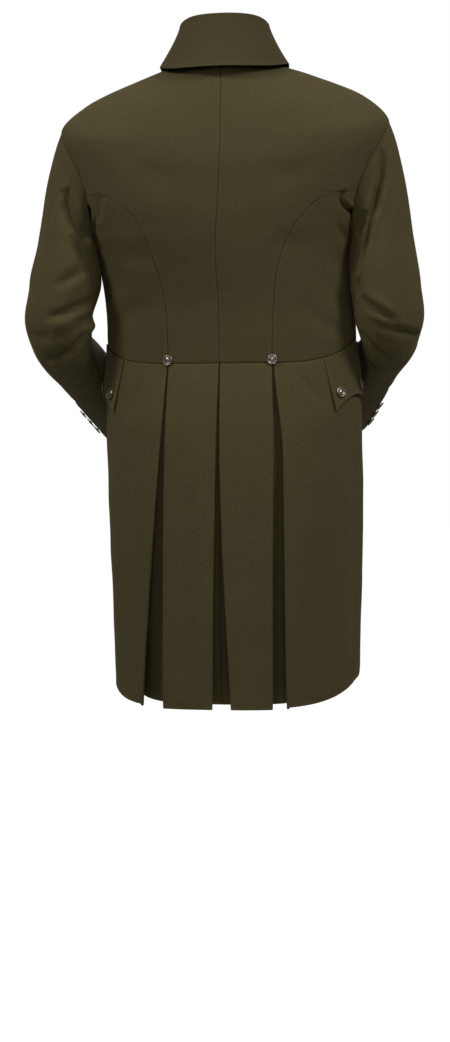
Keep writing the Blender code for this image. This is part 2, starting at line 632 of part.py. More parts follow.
def fall(angle, share):
    """The collar's fall: share 0 rolls over the stand's top edge, 1 is the outer edge."""
    angle, share = np.broadcast_arrays(np.asarray(angle, float), np.asarray(share, float))
    top, edge = collar_ring(FOLD_RING, angle), collar_ring(EDGE_RING, angle)
    outward = unit((edge - top) * np.array([1.0, 1.0, 0.0]))
    top = top + outward * (2 * COLLAR_CLOTH) + np.array([0, 0, FALL_CLEAR])
    flare = share**FALL_FLARE
    point = top + (edge - top) * share[..., None]
    point[..., :2] += ((edge - top)[..., :2]) * (flare - share)[..., None]
    return point


def fall_piece(coat, material):
    shares = np.array(FALL_SHARES)
    ends = FALL_END_DEG[0] + (FALL_END_DEG[1] - FALL_END_DEG[0]) * shares
    angles = spread(-ends, ends, FALL_COLUMNS)
    grid = np.broadcast_to(shares[:, None], angles.shape)
    points = fall(angles, grid)
    over = fall(angles + 0.5, grid) - fall(angles - 0.5, grid)
    below, above = np.minimum(grid + SHARE_STEP, 1), np.maximum(grid - SHARE_STEP, 0)
    down = fall(angles, below) - fall(angles, above)
    outward = unit(np.cross(down, over))
    # The roll over the stand: an extra row that comes in over its top edge
    up = np.array([0, 0, 1.0])
    roll = points[0] - outward[0] * (ROLL_IN * COLLAR_CLOTH) + up * (ROLL_UP * COLLAR_CLOTH)
    points = np.concatenate([roll[None], points])
    lean = unit(outward[0] * ROLL_LEAN + up)
    outward = np.concatenate([lean[None], outward])
    return cloth_piece(coat, "collar_fall", points, outward, material, COLLAR_CLOTH)


# Skirt


def hem_drop(angle):
    return smooth(np.abs(angle), HEM_ANGLES, HEM_DROPS)


def fold_distance(distances, drop):
    return smooth(drop, FOLD_DROPS, distances)


def fold_path(open_by):
    """Sideways and inward distances along a pleat, from the panel through its return to the
    underlay. Sideways 0 is the fold, and positive runs under the panel."""
    half, r = CLOTH / 2, FOLD_RADIUS
    turns = np.radians(NEAR_TURNS)
    near = np.stack([half + r + r * np.cos(turns), half + r + r * np.sin(turns)], axis=-1)
    inner = half + 2 * r + open_by
    turns = np.radians(FAR_TURNS)
    far = np.stack([PLEAT_DEPTH - r + r * np.cos(turns), inner + r + r * np.sin(turns)], axis=-1)
    middle = (near[-1] + far[0]) / 2
    return np.concatenate([near, middle[None], far])


def path_normals(path):
    """Unit normals of a path in its own plane, on its right-hand side."""
    ahead = np.concatenate([path[1:], path[-1:]]) - path
    behind = path - np.concatenate([path[:1], path[:-1]])
    ahead[-1], behind[0] = behind[-1], ahead[0]
    way = unit(unit(ahead) + unit(behind))
    return np.stack([way[:, 1], -way[:, 0]], axis=-1)


def tail_piece(coat, side, material):
    """A back skirt between the centre pleat and the side pleat, with its returns."""
    pleat = RIGHT_PLEAT if side > 0 else LEFT_PLEAT
    outer, inner = [], []
    for share in np.linspace(0, 1, SKIRT_ROWS):
        drop = share * HEM_DROPS[0]
        opened = PLEAT_OPEN * share
        path = fold_path(opened)
        centre = fold_distance(CENTRE_PLEAT[name_of(side)], drop)
        edge = fold_distance(pleat["tail"], drop)
        front = fold_distance(pleat["front"], drop)
        middle = (edge + front) / 2
        near = path + np.array([centre, 0])
        far = path * np.array([-1, 1]) + np.array([edge, 0])
        flat = np.linspace(centre, edge, TAIL_COLUMNS + 2)[1:-1]
        flat = np.stack([flat, np.full(flat.shape, CLOTH / 2)], axis=-1)
        deep = near[-1, 1]
        start = np.array([[HALF_SEAM, deep]])
        end = np.array([[middle - HALF_SEAM, deep]])
        line = np.concatenate([start, near[::-1], flat, far, end])
        add_skirt_row(outer, inner, side, line, drop, share)
    return wall(coat, f"tail_{name_of(side)}", np.array(outer), np.array(inner), material)


def add_skirt_row(outer, inner, side, line, drop, share):
    """Adds one row of a pleated skirt, with the underlay a little shorter than the outside."""
    way = path_normals(line)
    for offset, kept in ((CLOTH / 2, outer), (-CLOTH / 2, inner)):
        path = line + offset * way
        depth = path[:, 1]
        drops = drop - share * UNDERLAY_SHORT * np.clip(depth / PLEAT_OPEN, 0, 1)
        if share == 0:
            drops = drops + HALF_SEAM
        s = columns_at(SKIRT, drops)
        x = path[:, 0]
        angle = side * np.sign(x) * angle_at(np.abs(x), s["side_x"], s["square"])
        at = np.zeros_like(drops) if share == 0 else drops
        kept.append(skirt(angle, drops) - depth[:, None] * skirt_normals(angle, at))


def waist_angles():
    """The angles of the side back's and front's columns at the waist, as far as the skirt goes."""
    side_back = np.linspace(float(curve_angle(0.0)), SIDE_SEAM_ANGLE, SIDE_BACK_COLUMNS)
    front = np.linspace(SIDE_SEAM_ANGLE, 180 + FRONT_LAP_DEG, FRONT_COLUMNS)[1:]
    return np.concatenate([side_back, front[front < SKIRT_FRONT_LIMIT]])


def front_skirt_piece(coat, side, material):
    """A side and front skirt with its cut-away edge, and its return at the side pleat."""
    pleat = RIGHT_PLEAT if side > 0 else LEFT_PLEAT
    waist = waist_angles()
    columns = ((waist - waist[0]) / (waist[-1] - waist[0]))[1:]
    hem_fold = angle_at(pleat["front"][-1], SKIRT[-1].side_x, SKIRT[-1].square)
    hem_angles = hem_fold + (waist[-1] - hem_fold) * columns
    hems = hem_drop(hem_angles)
    outer, inner = [], []
    for share in np.linspace(0, 1, SKIRT_ROWS):
        drop = share * HEM_DROPS[0]
        opened = PLEAT_OPEN * share
        fold = fold_distance(pleat["front"], drop)
        edge = fold_distance(pleat["tail"], drop)
        path = fold_path(opened) + np.array([fold, 0])
        start = np.array([[(fold + edge) / 2 + HALF_SEAM, path[-1, 1]]])
        line = np.concatenate([start, path[::-1]])
        pleated_outer, pleated_inner = [], []
        add_skirt_row(pleated_outer, pleated_inner, side, line, drop, share)
        # The plain stretch, on columns that each end at the hem
        drops = share * hems
        folds = fold_distance(pleat["front"], drops)
        s = columns_at(SKIRT, drops)
        first = angle_at(folds, s["side_x"], s["square"])
        angle = side * (first + (waist[-1] - first) * columns)
        if share == 0:
            drops = drops + HALF_SEAM
        face = skirt(angle, drops)
        way = skirt_normals(angle, np.zeros_like(drops) if share == 0 else drops)
        outer.append(np.concatenate([pleated_outer[0], face]))
        inner.append(np.concatenate([pleated_inner[0], face - CLOTH * way]))
    name = f"front_skirt_{name_of(side)}"
    return wall(coat, name, np.array(outer), np.array(inner), material)


# Pocket flaps


def flap_angle(side_share, drop_share):
    """The angle at a share of the flap's width, at a share of its depth."""
    start = FLAP_REAR_DEG[0] + (FLAP_REAR_DEG[1] - FLAP_REAR_DEG[0]) * drop_share
    angles = start + np.linspace(0, FLAP_SPAN_DEG, FLAP_SPAN_STEPS)
    line = skirt(angles, np.full(angles.shape, drop_share * FLAP_DROP))
    length = np.concatenate([[0], np.cumsum(np.linalg.norm(np.diff(line, axis=0), axis=1))])
    return np.interp(side_share * FLAP_WIDTH, length, angles)


def flap_point(side, side_share, drop_share, out):
    """A point of the flap: three points along its lower edge, with hollows between them."""
    hollow = FLAP_SCALLOP * math.sin(math.pi * ((2 * side_share) % 1.0)) ** SCALLOP_POWER
    drop = FLAP_TOP + drop_share * (FLAP_DROP - hollow)
    angle = side * flap_angle(side_share, drop_share)
    away = LAID_ON + FLAP_LIFT * drop_share**2 + out
    at, way = np.array([angle]), skirt_normals(np.array([angle]), np.array([drop]))
    return (skirt(at, np.array([drop])) + away * way)[0], way[0]


def flap_piece(coat, side, material):
    across = np.linspace(0, 1, FLAP_COLUMNS)
    down = np.linspace(0, 1, FLAP_ROWS)
    inner = np.array([[flap_point(side, a, d, 0.0)[0] for a in across] for d in down])
    outer = np.array([[flap_point(side, a, d, CLOTH)[0] for a in across] for d in down])
    return wall(coat, f"pocket_flap_{name_of(side)}", outer, inner, material)


# Buttons


def button_mesh(material):
    """A domed metal button with a raised rim and a shank, as a profile for a Screw modifier."""
    profile = [(x * BUTTON_RADIUS, SHANK + z * BUTTON_THICK) for x, z in BUTTON_HEAD]
    profile += [(SHANK_RADIUS, SHANK), (SHANK_RADIUS, 0.0), (0.0, 0.0)]
    data = bpy.data.meshes.new("button")
    points = [(x, 0.0, z) for x, z in profile]
    data.from_pydata(points, [(i, i + 1) for i in range(len(points) - 1)], [])
    data.materials.append(material)
    return data


def place_button(coat, name, data, point, outward):
    button = bpy.data.objects.new(name, data)
    coat.objects.link(button)
    screw = button.modifiers.new("turned", "SCREW")
    screw.axis = "Z"
    screw.steps = screw.render_steps = BUTTON_STEPS
    screw.use_merge_vertices = True
    screw.merge_threshold = 0.0001
    screw.use_smooth_shade = True
    outward = Vector(outward)
    turn = Vector((0, 0, 1)).rotation_difference(outward)
    place = Matrix.Translation(Vector(point) + LAID_ON * outward)
    button.matrix_world = place @ turn.to_matrix().to_4x4()
    return button


def waist_buttons(coat, data):
    s = columns_at(BODICE, WAIST_BUTTON_LEVEL)
    for side in (1, -1):
        angle = np.array([side * float(angle_at(WAIST_BUTTON_X, s["side_x"], s["square"]))])
        level = np.array([WAIST_BUTTON_LEVEL])
        place_button(
            coat, f"waist_button_{name_of(side)}", data,
            bodice(angle, level)[0], bodice_normals(angle, level)[0],
        )


def flap_buttons(coat, data):
    inset = FLAP_BUTTON_INSET / FLAP_WIDTH
    share = FLAP_BUTTON_DROP / FLAP_DROP
    for side in (1, -1):
        for k, across in enumerate((inset, 0.5, 1 - inset)):
            point, _ = flap_point(side, across, share, CLOTH)
            beside, _ = flap_point(side, across + BUTTON_SLOPE_STEP[0], share, CLOTH)
            below, _ = flap_point(side, across, share + BUTTON_SLOPE_STEP[1], CLOTH)
            way = unit(np.cross(beside - point, below - point)) * -side
            place_button(coat, f"flap_button_{name_of(side)}_{k + 1}", data, point, way)


def cuff_buttons(coat, data):
    for side in (1, -1):
        for k, share in enumerate(CUFF_BUTTON_SHARES):
            turn = np.array([float(CUFF_BUTTON_DEG)])
            at = np.array([share])
            point = sleeve(side, turn, at)[0]
            way = sleeve_normals(side, turn, at)[0]
            place_button(coat, f"cuff_button_{name_of(side)}_{k + 1}", data, point, way)


def front_buttons(coat, data):
    for k, level in enumerate(FRONT_BUTTON_LEVELS):
        angle, at = np.array([FRONT_BUTTON_DEG]), np.array([level])
        way = bodice_normals(angle, at)[0]
        point = bodice(angle, at)[0] + LAP_RISE * way
        place_button(coat, f"front_button_{k + 1}", data, point, way)


def main():
    coat = start_scene()
    twill = cloth_material("olive_cotton_twill", (0.050, 0.040, 0.020), 0.85)
    metal = cloth_material("antiqued_pewter", (0.35, 0.33, 0.30), 0.38, 1.0)
    for side in (1, -1):
        back_piece(coat, side, twill)
        side_back_piece(coat, side, twill)
        front_piece(coat, side, twill)
        name = name_of(side)
        hind, fore = HIND_SEAM_DEG, FORE_SEAM_DEG
        sleeve_piece(coat, f"top_sleeve_{name}", side, hind, fore, twill)
        wrapped = (hind[0] + 360, hind[1] + 360)
        sleeve_piece(coat, f"under_sleeve_{name}", side, fore, wrapped, twill)
        tail_piece(coat, side, twill)
        front_skirt_piece(coat, side, twill)
        flap_piece(coat, side, twill)
    stand_piece(coat, twill)
    fall_piece(coat, twill)
    button = button_mesh(metal)
    waist_buttons(coat, button)
    flap_buttons(coat, button)
    cuff_buttons(coat, button)
    front_buttons(coat, button)


main()
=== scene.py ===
"""Regency tailcoat in brushed olive cotton twill, dressed over its CAD frame.

Metres, +Z up, -Y out of the coat's back, +X to the wearer's right. The coat is worn and hollow.
"""
import math
from functools import partial

import bpy
import numpy as np
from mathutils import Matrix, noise


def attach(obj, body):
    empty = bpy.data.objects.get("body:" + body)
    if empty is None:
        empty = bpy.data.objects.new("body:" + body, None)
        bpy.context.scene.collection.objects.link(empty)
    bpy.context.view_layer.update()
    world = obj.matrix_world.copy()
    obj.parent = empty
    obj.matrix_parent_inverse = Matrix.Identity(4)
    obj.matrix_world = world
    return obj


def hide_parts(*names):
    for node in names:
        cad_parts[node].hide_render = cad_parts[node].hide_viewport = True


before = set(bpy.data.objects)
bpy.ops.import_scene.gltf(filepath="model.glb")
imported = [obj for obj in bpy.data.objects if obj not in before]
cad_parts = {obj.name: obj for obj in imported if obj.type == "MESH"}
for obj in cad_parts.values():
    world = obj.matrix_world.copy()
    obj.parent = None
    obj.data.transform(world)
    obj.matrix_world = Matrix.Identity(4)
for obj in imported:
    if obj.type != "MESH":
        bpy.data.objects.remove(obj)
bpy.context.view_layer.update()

# Backs. Two panels of brushed cotton twill, joined by the centre back seam. Each runs out along a curved
# seam and then the armhole, and is hollowed over the shoulder blades by pressing. A real bodice is
# lined; here its inside shows the cloth.
CLOTH = 0.0020  # outer cloth and lining together
HALF_SEAM = 0.000003  # half the gap between sewn pieces: too little to let light through
SIDES = (("right", 1), ("left", -1))
RING = "level side_x side_y side_z back_y back_z front_y front_z square shift turn tilt".split()
BODICE = np.array([
    (0.00, 0.2070, 0.004, -0.457, -0.106, -0.497, 0.126, -0.447, 2.20, 0.0100, 6.0, 0.000),
    (0.20, 0.2065, 0.004, -0.397, -0.111, -0.410, 0.130, -0.392, 2.20, 0.0080, 5.0, 0.000),
    (0.36, 0.2075, 0.003, -0.335, -0.122, -0.340, 0.136, -0.335, 2.25, 0.0010, 3.0, 0.000),
    (0.50, 0.2180, 0.000, -0.285, -0.131, -0.284, 0.139, -0.285, 2.35, -0.0030, 1.0, 0.005),
    (0.60, 0.2350, -0.003, -0.232, -0.135, -0.238, 0.136, -0.246, 2.40, -0.0020, 0.0, 0.010),
    (0.72, 0.2540, -0.008, -0.168, -0.135, -0.182, 0.127, -0.202, 2.40, 0.0005, 0.0, 0.018),
    (0.82, 0.2705, -0.014, -0.106, -0.128, -0.134, 0.113, -0.166, 2.35, 0.0015, 0.0, 0.024),
    (0.88, 0.2275, -0.014, -0.061, -0.118, -0.096, 0.100, -0.136, 2.30, 0.0010, 0.0, 0.028),
    (0.94, 0.1510, -0.012, -0.027, -0.103, -0.052, 0.084, -0.110, 2.15, 0.0010, 0.0, 0.026),
    (1.00, 0.0860, -0.008, -0.003, -0.088, -0.014, 0.070, -0.086, 2.00, 0.0000, 0.0, 0.020),
])
CURVE_Z = (-0.500, -0.437, -0.392, -0.355, -0.325, -0.300, -0.277, -0.256, -0.240, -0.228, -0.2205, -0.215)
CURVE_X = (0.0850, 0.0865, 0.0897, 0.0955, 0.1045, 0.1130, 0.1245, 0.1390, 0.1540, 0.1710, 0.1940, 0.2250)
ARMHOLE_LOW, ARMHOLE_HIGH = 0.48, 0.82
ARMHOLE_MID, ARMHOLE_HALF = 0.65, 0.17
ARMHOLE_BACK_DEG, ARMHOLE_FRONT_DEG = 25, 28
SIDE_BACK_TIP_DEG = 0.1
STEP = 0.004  # spacing of the mesh
NEAR_EDGE = np.array([0.0, 0.0002, 0.0006, 0.0012, 0.0022])  # extra mesh lines beside each edge
NEAR_SHARE = 0.3  # the most of a short row that they take up
SEAM_ROLL, SEAM_DIP = 0.0022, 0.0010  # a pressed seam: where the cloth starts to turn in, and how far
SEAM_PAINTED_HIGHLIGHT, SEAM_PAINTED_SHADE = 0.10, 0.55  # painted highlight on the pressed ridge beside a seam, and painted shade in its groove: how much lighter the cloth is beside a seam, and darker in it
SEAM_HIGHLIGHT_AT, SEAM_HIGHLIGHT_WIDTH = 0.0024, 0.0012  # where the painted highlight's lighter strip lies beside the seam
# how wide the painted shade in a seam's groove is
SEAM_SHADE_WIDTH = 0.0007
# painted highlight along an open, rolled edge: how much lighter the colour is there, and how far in it fades
EDGE_PAINTED_HIGHLIGHT, EDGE_HIGHLIGHT_WIDTH = 0.45, 0.0022
ROLL_SHARE = 0.98  # of half the wall, so that a rolled edge's two faces don't quite meet
TIP_ROWS = 0.60  # from this level up the curved seam runs nearly level, so rows lie closer
SHARED = 0.010  # how far from a seam the two panels' directions are brought together
LEVEL = np.array([1.0, 1.0, 0.0])  # a vector times this keeps its level part
TINY = 1e-9


def hermite(t, start, leave, end, arrive, span=1.0):
    """A cubic from start to end, with the slopes given at both."""
    return ((2 * t**3 - 3 * t**2 + 1) * start + (t**3 - 2 * t**2 + t) * span * leave
            + (3 * t**2 - 2 * t**3) * end + (t**3 - t**2) * span * arrive)


def smooth(x, knots, values):
    """A cubic through the knots that never overshoots them."""
    knots, values = np.asarray(knots, float), np.asarray(values, float)
    gaps = np.diff(knots)
    rises = np.diff(values) / gaps
    slopes = np.concatenate([[rises[0]], np.zeros(len(knots) - 2), [rises[-1]]])
    same_way = rises[:-1] * rises[1:] > 0
    weights = np.where(same_way, rises[:-1] + rises[1:], 1.0)
    slopes[1:-1] = np.where(same_way, 2 * rises[:-1] * rises[1:] / weights, 0.0)
    x = np.clip(np.asarray(x, float), knots[0], knots[-1])
    i = np.clip(np.searchsorted(knots, x) - 1, 0, len(gaps) - 1)
    t = (x - knots[i]) / gaps[i]
    return hermite(t, values[i], slopes[i], values[i + 1], slopes[i + 1], gaps[i])


def ease(t):
    """0 to 1 with soft ends."""
    t = np.clip(t, 0.0, 1.0)
    return t * t * (3 - 2 * t)


def floats(*given):
    """The values as arrays of one shape."""
    return np.broadcast_arrays(*(np.asarray(v, float) for v in given))


def columns_at(names, table, x):
    """A table's values at x, by the names of its columns."""
    return {name: smooth(x, table[:, 0], table[:, k]) for k, name in enumerate(names) if k}


def unit(vectors):
    return vectors / np.maximum(np.linalg.norm(vectors, axis=-1, keepdims=True), 1e-12)


def height_share(angle):
    """How far a ring's height goes from the side's to the back's or front's."""
    from_end = np.minimum(np.abs(angle), 180 - np.abs(angle)) / 90
    return 0.5 + 0.5 * np.cos(math.pi * np.abs(from_end) ** 2)


def rounded(angle, square):
    """How far across and along a rounded box lies at an angle; 2 makes it an ellipse."""
    turn = np.radians(angle)
    across = np.sign(np.sin(turn)) * np.abs(np.sin(turn)) ** (2 / square)
    return across, np.abs(np.cos(turn)) ** (2 / square)


def ring_xy(angle, s):
    """A ring's place at an angle: a rounded box, shifted and turned."""
    across, along = rounded(angle, s["square"])
    end = np.where(np.abs(angle) < 90, s["back_y"], s["front_y"])
    x = s["side_x"] * across
    y = s["side_y"] + (end - s["side_y"]) * along
    turn = np.radians(s["turn"])
    return x * np.cos(turn) + y * np.sin(turn) + s["shift"], y * np.cos(turn) - x * np.sin(turn)


def around(angle):
    """Angles past the centre front, taken on from the other side."""
    return np.where(angle > 180, angle - 360, np.where(angle < -180, angle + 360, angle))


def bodice(angle, level):
    """A point of the bodice form: the angle runs from the centre back, the level from the waist."""
    angle, level = floats(around(angle), level)
    s = columns_at(RING, BODICE, level)
    x, y = ring_xy(angle, s)
    end = np.where(np.abs(angle) < 90, s["back_z"], s["front_z"])
    z = s["side_z"] + (end - s["side_z"]) * height_share(angle) + s["tilt"] * x
    return np.stack([x, y, z], axis=-1)


def form_normals(form, a, b, low, high, up=1, step_a=0.5, step_b=0.004):
    """The directions out of a form. Its second value runs from low to high."""
    a, b = floats(a, b)
    over = form(a + step_a, b) - form(a - step_a, b)
    rise = form(a, np.minimum(b + step_b, high)) - form(a, np.maximum(b - step_b, low))
    return unit(np.cross(over, up * rise))


def bodice_normals(angle, level):
    return form_normals(bodice, angle, level, 0.0, 1.0)


def bring_together(outward, shared, distance, mask=None):
    """Turns the directions near an edge to the ones that two panels share at it."""
    weight = np.clip(1 - distance / SHARED, 0, 1)[..., None] ** 2
    if mask is not None:
        weight = weight * mask[..., None]
    return unit(outward + weight * (shared - outward))


DROP = "drop side_x side_y back_y front_y square shift turn".split()
SKIRT = np.array([
    (0.000, 0.2070, 0.004, -0.106, 0.126, 2.20, 0.0100, 6.0),
    (0.050, 0.2095, 0.004, -0.122, 0.130, 2.22, 0.0118, 6.2),
    (0.120, 0.2120, 0.003, -0.138, 0.136, 2.25, 0.0142, 6.5),
    (0.240, 0.2115, 0.002, -0.148, 0.138, 2.25, 0.0162, 7.0),
    (0.400, 0.2075, 0.002, -0.153, 0.138, 2.20, 0.0180, 7.5),
    (0.560, 0.2020, 0.002, -0.156, 0.138, 2.15, 0.0205, 8.0),
])


def skirt(angle, drop):
    """A point of the skirt form, a drop below the waist seam."""
    angle, drop = floats(around(angle), drop)
    x, y = ring_xy(angle, columns_at(DROP, SKIRT, drop))
    return np.stack([x, y, bodice(angle, 0.0)[..., 2] - drop], axis=-1)


def skirt_normals(angle, drop):
    return form_normals(skirt, angle, drop, 0.0, SKIRT[-1][0], up=-1)


def waist_ways(angle):
    """The directions that bodice and skirt share at the waist seam."""
    return unit(bodice_normals(angle, 0.0) + skirt_normals(angle, 0.0))


def skirt_ways(angle, drop):
    found = skirt_normals(angle, drop)
    return bring_together(found, waist_ways(angle), np.broadcast_to(drop, found.shape[:-1]))


# The collar stand leans in from the neckline to the fold line
COLLAR_RING = "side_x side_y side_z back_y back_z front_y front_z".split()
NECK_RING = dict(zip(COLLAR_RING, (0.0860, -0.008, -0.003, -0.088, -0.014, 0.070, -0.086)))
FOLD_RING = dict(zip(COLLAR_RING, (0.0700, -0.008, 0.060, -0.072, 0.070, 0.066, -0.030)))
STAND_END_DEG = 162
STAND_BULGE = 0.10


def collar_ring(ring, angle):
    """A point of one of the collar's rings."""
    across, along = rounded(angle, 2.0)
    back = np.abs(angle) < 90
    x = ring["side_x"] * across
    y = ring["side_y"] + (np.where(back, ring["back_y"], ring["front_y"]) - ring["side_y"]) * along
    end = np.where(back, ring["back_z"], ring["front_z"])
    z = ring["side_z"] + (end - ring["side_z"]) * height_share(angle)
    return np.stack([x, y, z + BODICE[-1][-1] * x], axis=-1)


def stand(angle, rise):
    """A point of the stand's form, its rise a share of the way to the fold line."""
    angle, rise = floats(angle, rise)
    low, high = collar_ring(NECK_RING, angle), collar_ring(FOLD_RING, angle)
    point = low + (high - low) * rise[..., None]
    point[..., :2] += (high - low)[..., :2] * (STAND_BULGE * np.sin(math.pi * rise))[..., None]
    return point


def neck_ways(angle):
    """The directions that bodice and stand share at the neckline."""
    stand_ways = form_normals(stand, angle, 0.015, 0.0, 1.0, step_b=0.015)
    return unit(stand_ways + bodice_normals(angle, 1.0))


WAIST_LEVEL_M, NECK_LEVEL_M = 0.30, 1.15  # metres of cloth for each unit of level, there


def bodice_ways(angle, level):
    """The bodice's directions, brought to those of its neighbours at the waist and at the neck."""
    found = bodice_normals(angle, level)
    angle = np.broadcast_to(around(angle), found.shape[:-1])
    level = np.broadcast_to(level, found.shape[:-1])
    found = bring_together(found, waist_ways(angle), level * WAIST_LEVEL_M)
    return bring_together(found, neck_ways(angle), (1 - level) * NECK_LEVEL_M, np.abs(angle) <= STAND_END_DEG)


def angle_at(x, side_x, square):
    """The angle at which a ring is that far from its middle."""
    share = np.clip(np.asarray(x, float) / side_x, 0.0, 1.0)
    return np.degrees(np.arcsin(share ** (square / 2)))


def curve_angle(level):
    """The angle of the curved side-back seam at a level below the armhole."""
    level = np.asarray(level, float)
    s = columns_at(RING, BODICE, level)
    angle = np.full(level.shape, 40.0)  # a first guess, since the seam's height depends on its angle
    for _ in range(6):
        z = bodice(angle, level)[..., 2]
        angle = angle_at(smooth(z, CURVE_Z, CURVE_X), s["side_x"], s["square"])
    return angle


def armhole(side, turn):
    """Angle and level on the bodice of the armhole, from the shoulder point round the front."""
    turn = np.radians(turn)
    reach = np.where(np.sin(turn) > 0, ARMHOLE_FRONT_DEG, ARMHOLE_BACK_DEG)
    return side * (90 + reach * np.sin(turn)), ARMHOLE_MID + ARMHOLE_HALF * np.cos(turn)


def armhole_share(level):
    """A level's place on the armhole, from -1 at its lowest point to 1 at the shoulder."""
    return np.clip((np.asarray(level) - ARMHOLE_MID) / ARMHOLE_HALF, -1, 1)


def armhole_limit(level, reach):
    """How many degrees the armhole reaches to one side at a level."""
    return reach * np.sqrt(1 - armhole_share(level) ** 2)


def path_length(points):
    return np.concatenate([[0.0], np.cumsum(np.linalg.norm(np.diff(points, axis=0), axis=1))])


def steps_along(line, low, high, step=STEP, near=(True, True)):
    """Values from low to high, a mesh step apart along a line, with the extra lines near its ends."""
    values = np.linspace(low, high, 401)
    length = path_length(line(values))
    total = length[-1]
    first = NEAR_EDGE if near[0] else np.array([0.0])
    last = (total - NEAR_EDGE[::-1]) if near[1] else np.array([total])
    count = max(int(math.ceil((last[0] - first[-1]) / step)), 1)
    places = np.concatenate([first, np.linspace(first[-1], last[0], count + 1)[1:-1], last])
    return np.interp(places, length, values)


def steps_across(lengths, step=STEP, near=(True, True)):
    """For rows of those lengths, each row's shares from 0 to 1, with extra lines near its ends."""
    lengths = np.maximum(np.asarray(lengths, float), 1e-6)
    count = max(int(math.ceil(lengths.max() / step)), 2)
    shrink = np.minimum(1.0, NEAR_SHARE * lengths / NEAR_EDGE[-1])[:, None]
    lines = NEAR_EDGE[None, :] * shrink / lengths[:, None]
    first = lines if near[0] else np.zeros((len(lengths), 1))
    last = 1 - lines[:, ::-1] if near[1] else np.ones((len(lengths), 1))
    even = np.linspace(0, 1, count + 1)[1:-1]
    middle = first[:, -1:] + (last[:, :1] - first[:, -1:]) * even[None, :]
    return np.concatenate([first, middle, last], axis=1)


def from_edges(points):
    """Each grid point's distance along the cloth from the first and last row and column."""
    down = np.linalg.norm(np.diff(points, axis=0), axis=2).cumsum(axis=0)
    down = np.concatenate([np.zeros((1, points.shape[1])), down])
    over = np.linalg.norm(np.diff(points, axis=1), axis=2).cumsum(axis=1)
    over = np.concatenate([np.zeros((points.shape[0], 1)), over], axis=1)
    return down, down[-1:] - down, over, over[:, -1:] - over


def hull_shell(outer, inner):
    """Vertices and faces of a closed wall between two grids of points, faces outwards."""
    rows, cols = outer.shape[:2]
    count = rows * cols
    grid = np.arange(count).reshape(rows, cols)
    front = np.stack([grid[:-1, :-1], grid[:-1, 1:], grid[1:, 1:], grid[1:, :-1]], -1).reshape(-1, 4)
    ring = np.concatenate([grid[0], grid[1:, -1], grid[-1, -2::-1], grid[-2:0:-1, 0]])
    after = np.roll(ring, -1)
    rim = np.stack([after, ring, ring + count, after + count], -1)
    faces = np.concatenate([front, front[:, ::-1] + count, rim])
    points = np.concatenate([outer.reshape(-1, 3), inner.reshape(-1, 3)])
    a, b, c, d = (points[faces[:, k]] for k in range(4))
    volume = (a * np.cross(b, c)).sum() + (a * np.cross(c, d)).sum()
    return points, (faces if volume > 0 else faces[:, ::-1]), len(front)


def linear(colour):
    """An sRGB hex colour as the linear RGBA that shaders take."""
    parts = [int(colour[k:k + 2], 16) / 255 for k in (0, 2, 4)]
    return (*[p / 12.92 if p <= 0.04045 else ((p + 0.055) / 1.055) ** 2.4 for p in parts], 1.0)


def feed(tree, node, inputs):
    """Sets a node's inputs. Each is a value, or the (node, output) that feeds it. A Mix node takes its
    colours as inputs 6 and 7 and gives them as output 2; its numbers are 2 and 3, and 0."""
    for name, value in inputs.items():
        if isinstance(value, tuple) and isinstance(value[0], bpy.types.Node):
            tree.links.new(value[0].outputs[value[1]], node.inputs[name])
        else:
            node.inputs[name].default_value = value


def add_node(tree, kind, inputs=(), **settings):
    made = tree.nodes.new(kind)
    for name, value in settings.items():
        setattr(made, name, value)
    feed(tree, made, dict(inputs))
    return made


def new_material(name, **settings):
    """A Principled material, its tree, and the shader with its own settings."""
    material = bpy.data.materials.new(name)
    material.use_nodes = True
    tree = material.node_tree
    shader = tree.nodes["Principled BSDF"]
    feed(tree, shader, {socket.replace("_", " "): value for socket, value in settings.items()})
    return material, tree, shader


def grain(tree, scale, detail, roughness):
    """A noise fixed to the object."""
    place = add_node(tree, "ShaderNodeTexCoord")
    return add_node(tree, "ShaderNodeTexNoise", {
        "Vector": (place, "Object"), "Scale": scale, "Detail": detail, "Roughness": roughness})


def two_tones(tree, source, dark, light, start=0.0, end=1.0):
    """A ramp from one sRGB colour to another over a texture's values."""
    ramp = add_node(tree, "ShaderNodeValToRGB", {"Fac": (source, "Fac")})
    for stop, place, colour in zip(ramp.color_ramp.elements, (start, end), (dark, light)):
        stop.position, stop.color = place, linear(colour)
    return ramp


def bump(tree, source, strength, distance, **under):
    return add_node(tree, "ShaderNodeBump", {
        "Height": (source, "Fac"), "Strength": strength, "Distance": distance, **under})


# Brushed cotton twill, vat dyed olive: a matt cloth whose short nap catches light at grazing angles.
# Its diagonal ribs are 0.8 mm apart and are drawn 2.0 mm apart, so that they show.
TWILL_RIB, TWILL_SLANT = 0.0020, math.radians(58)
WAVE_PERIOD = 2 * math.pi / 20  # a Wave texture's band at scale 1
olive_twill, tree, shader = new_material(
    "brushed_olive_cotton_twill", Roughness=0.9, Specular_IOR_Level=0.12,
    Sheen_Weight=0.12, Sheen_Roughness=0.4, Sheen_Tint=linear("A8875A"),
)
uv = add_node(tree, "ShaderNodeUVMap", uv_map="cut")
slanted = add_node(tree, "ShaderNodeMapping", {"Vector": (uv, "UV"), "Rotation": (0, 0, TWILL_SLANT)})
ribs = add_node(tree, "ShaderNodeTexWave", {
    "Vector": (slanted, "Vector"), "Scale": WAVE_PERIOD / TWILL_RIB, "Distortion": 1.2,
    "Detail": 2.0, "Detail Scale": 0.6}, wave_profile="SIN")
mottled = two_tones(tree, grain(tree, 300.0, 4.0, 0.7), "38331F", "50492F", 0.30, 0.72)
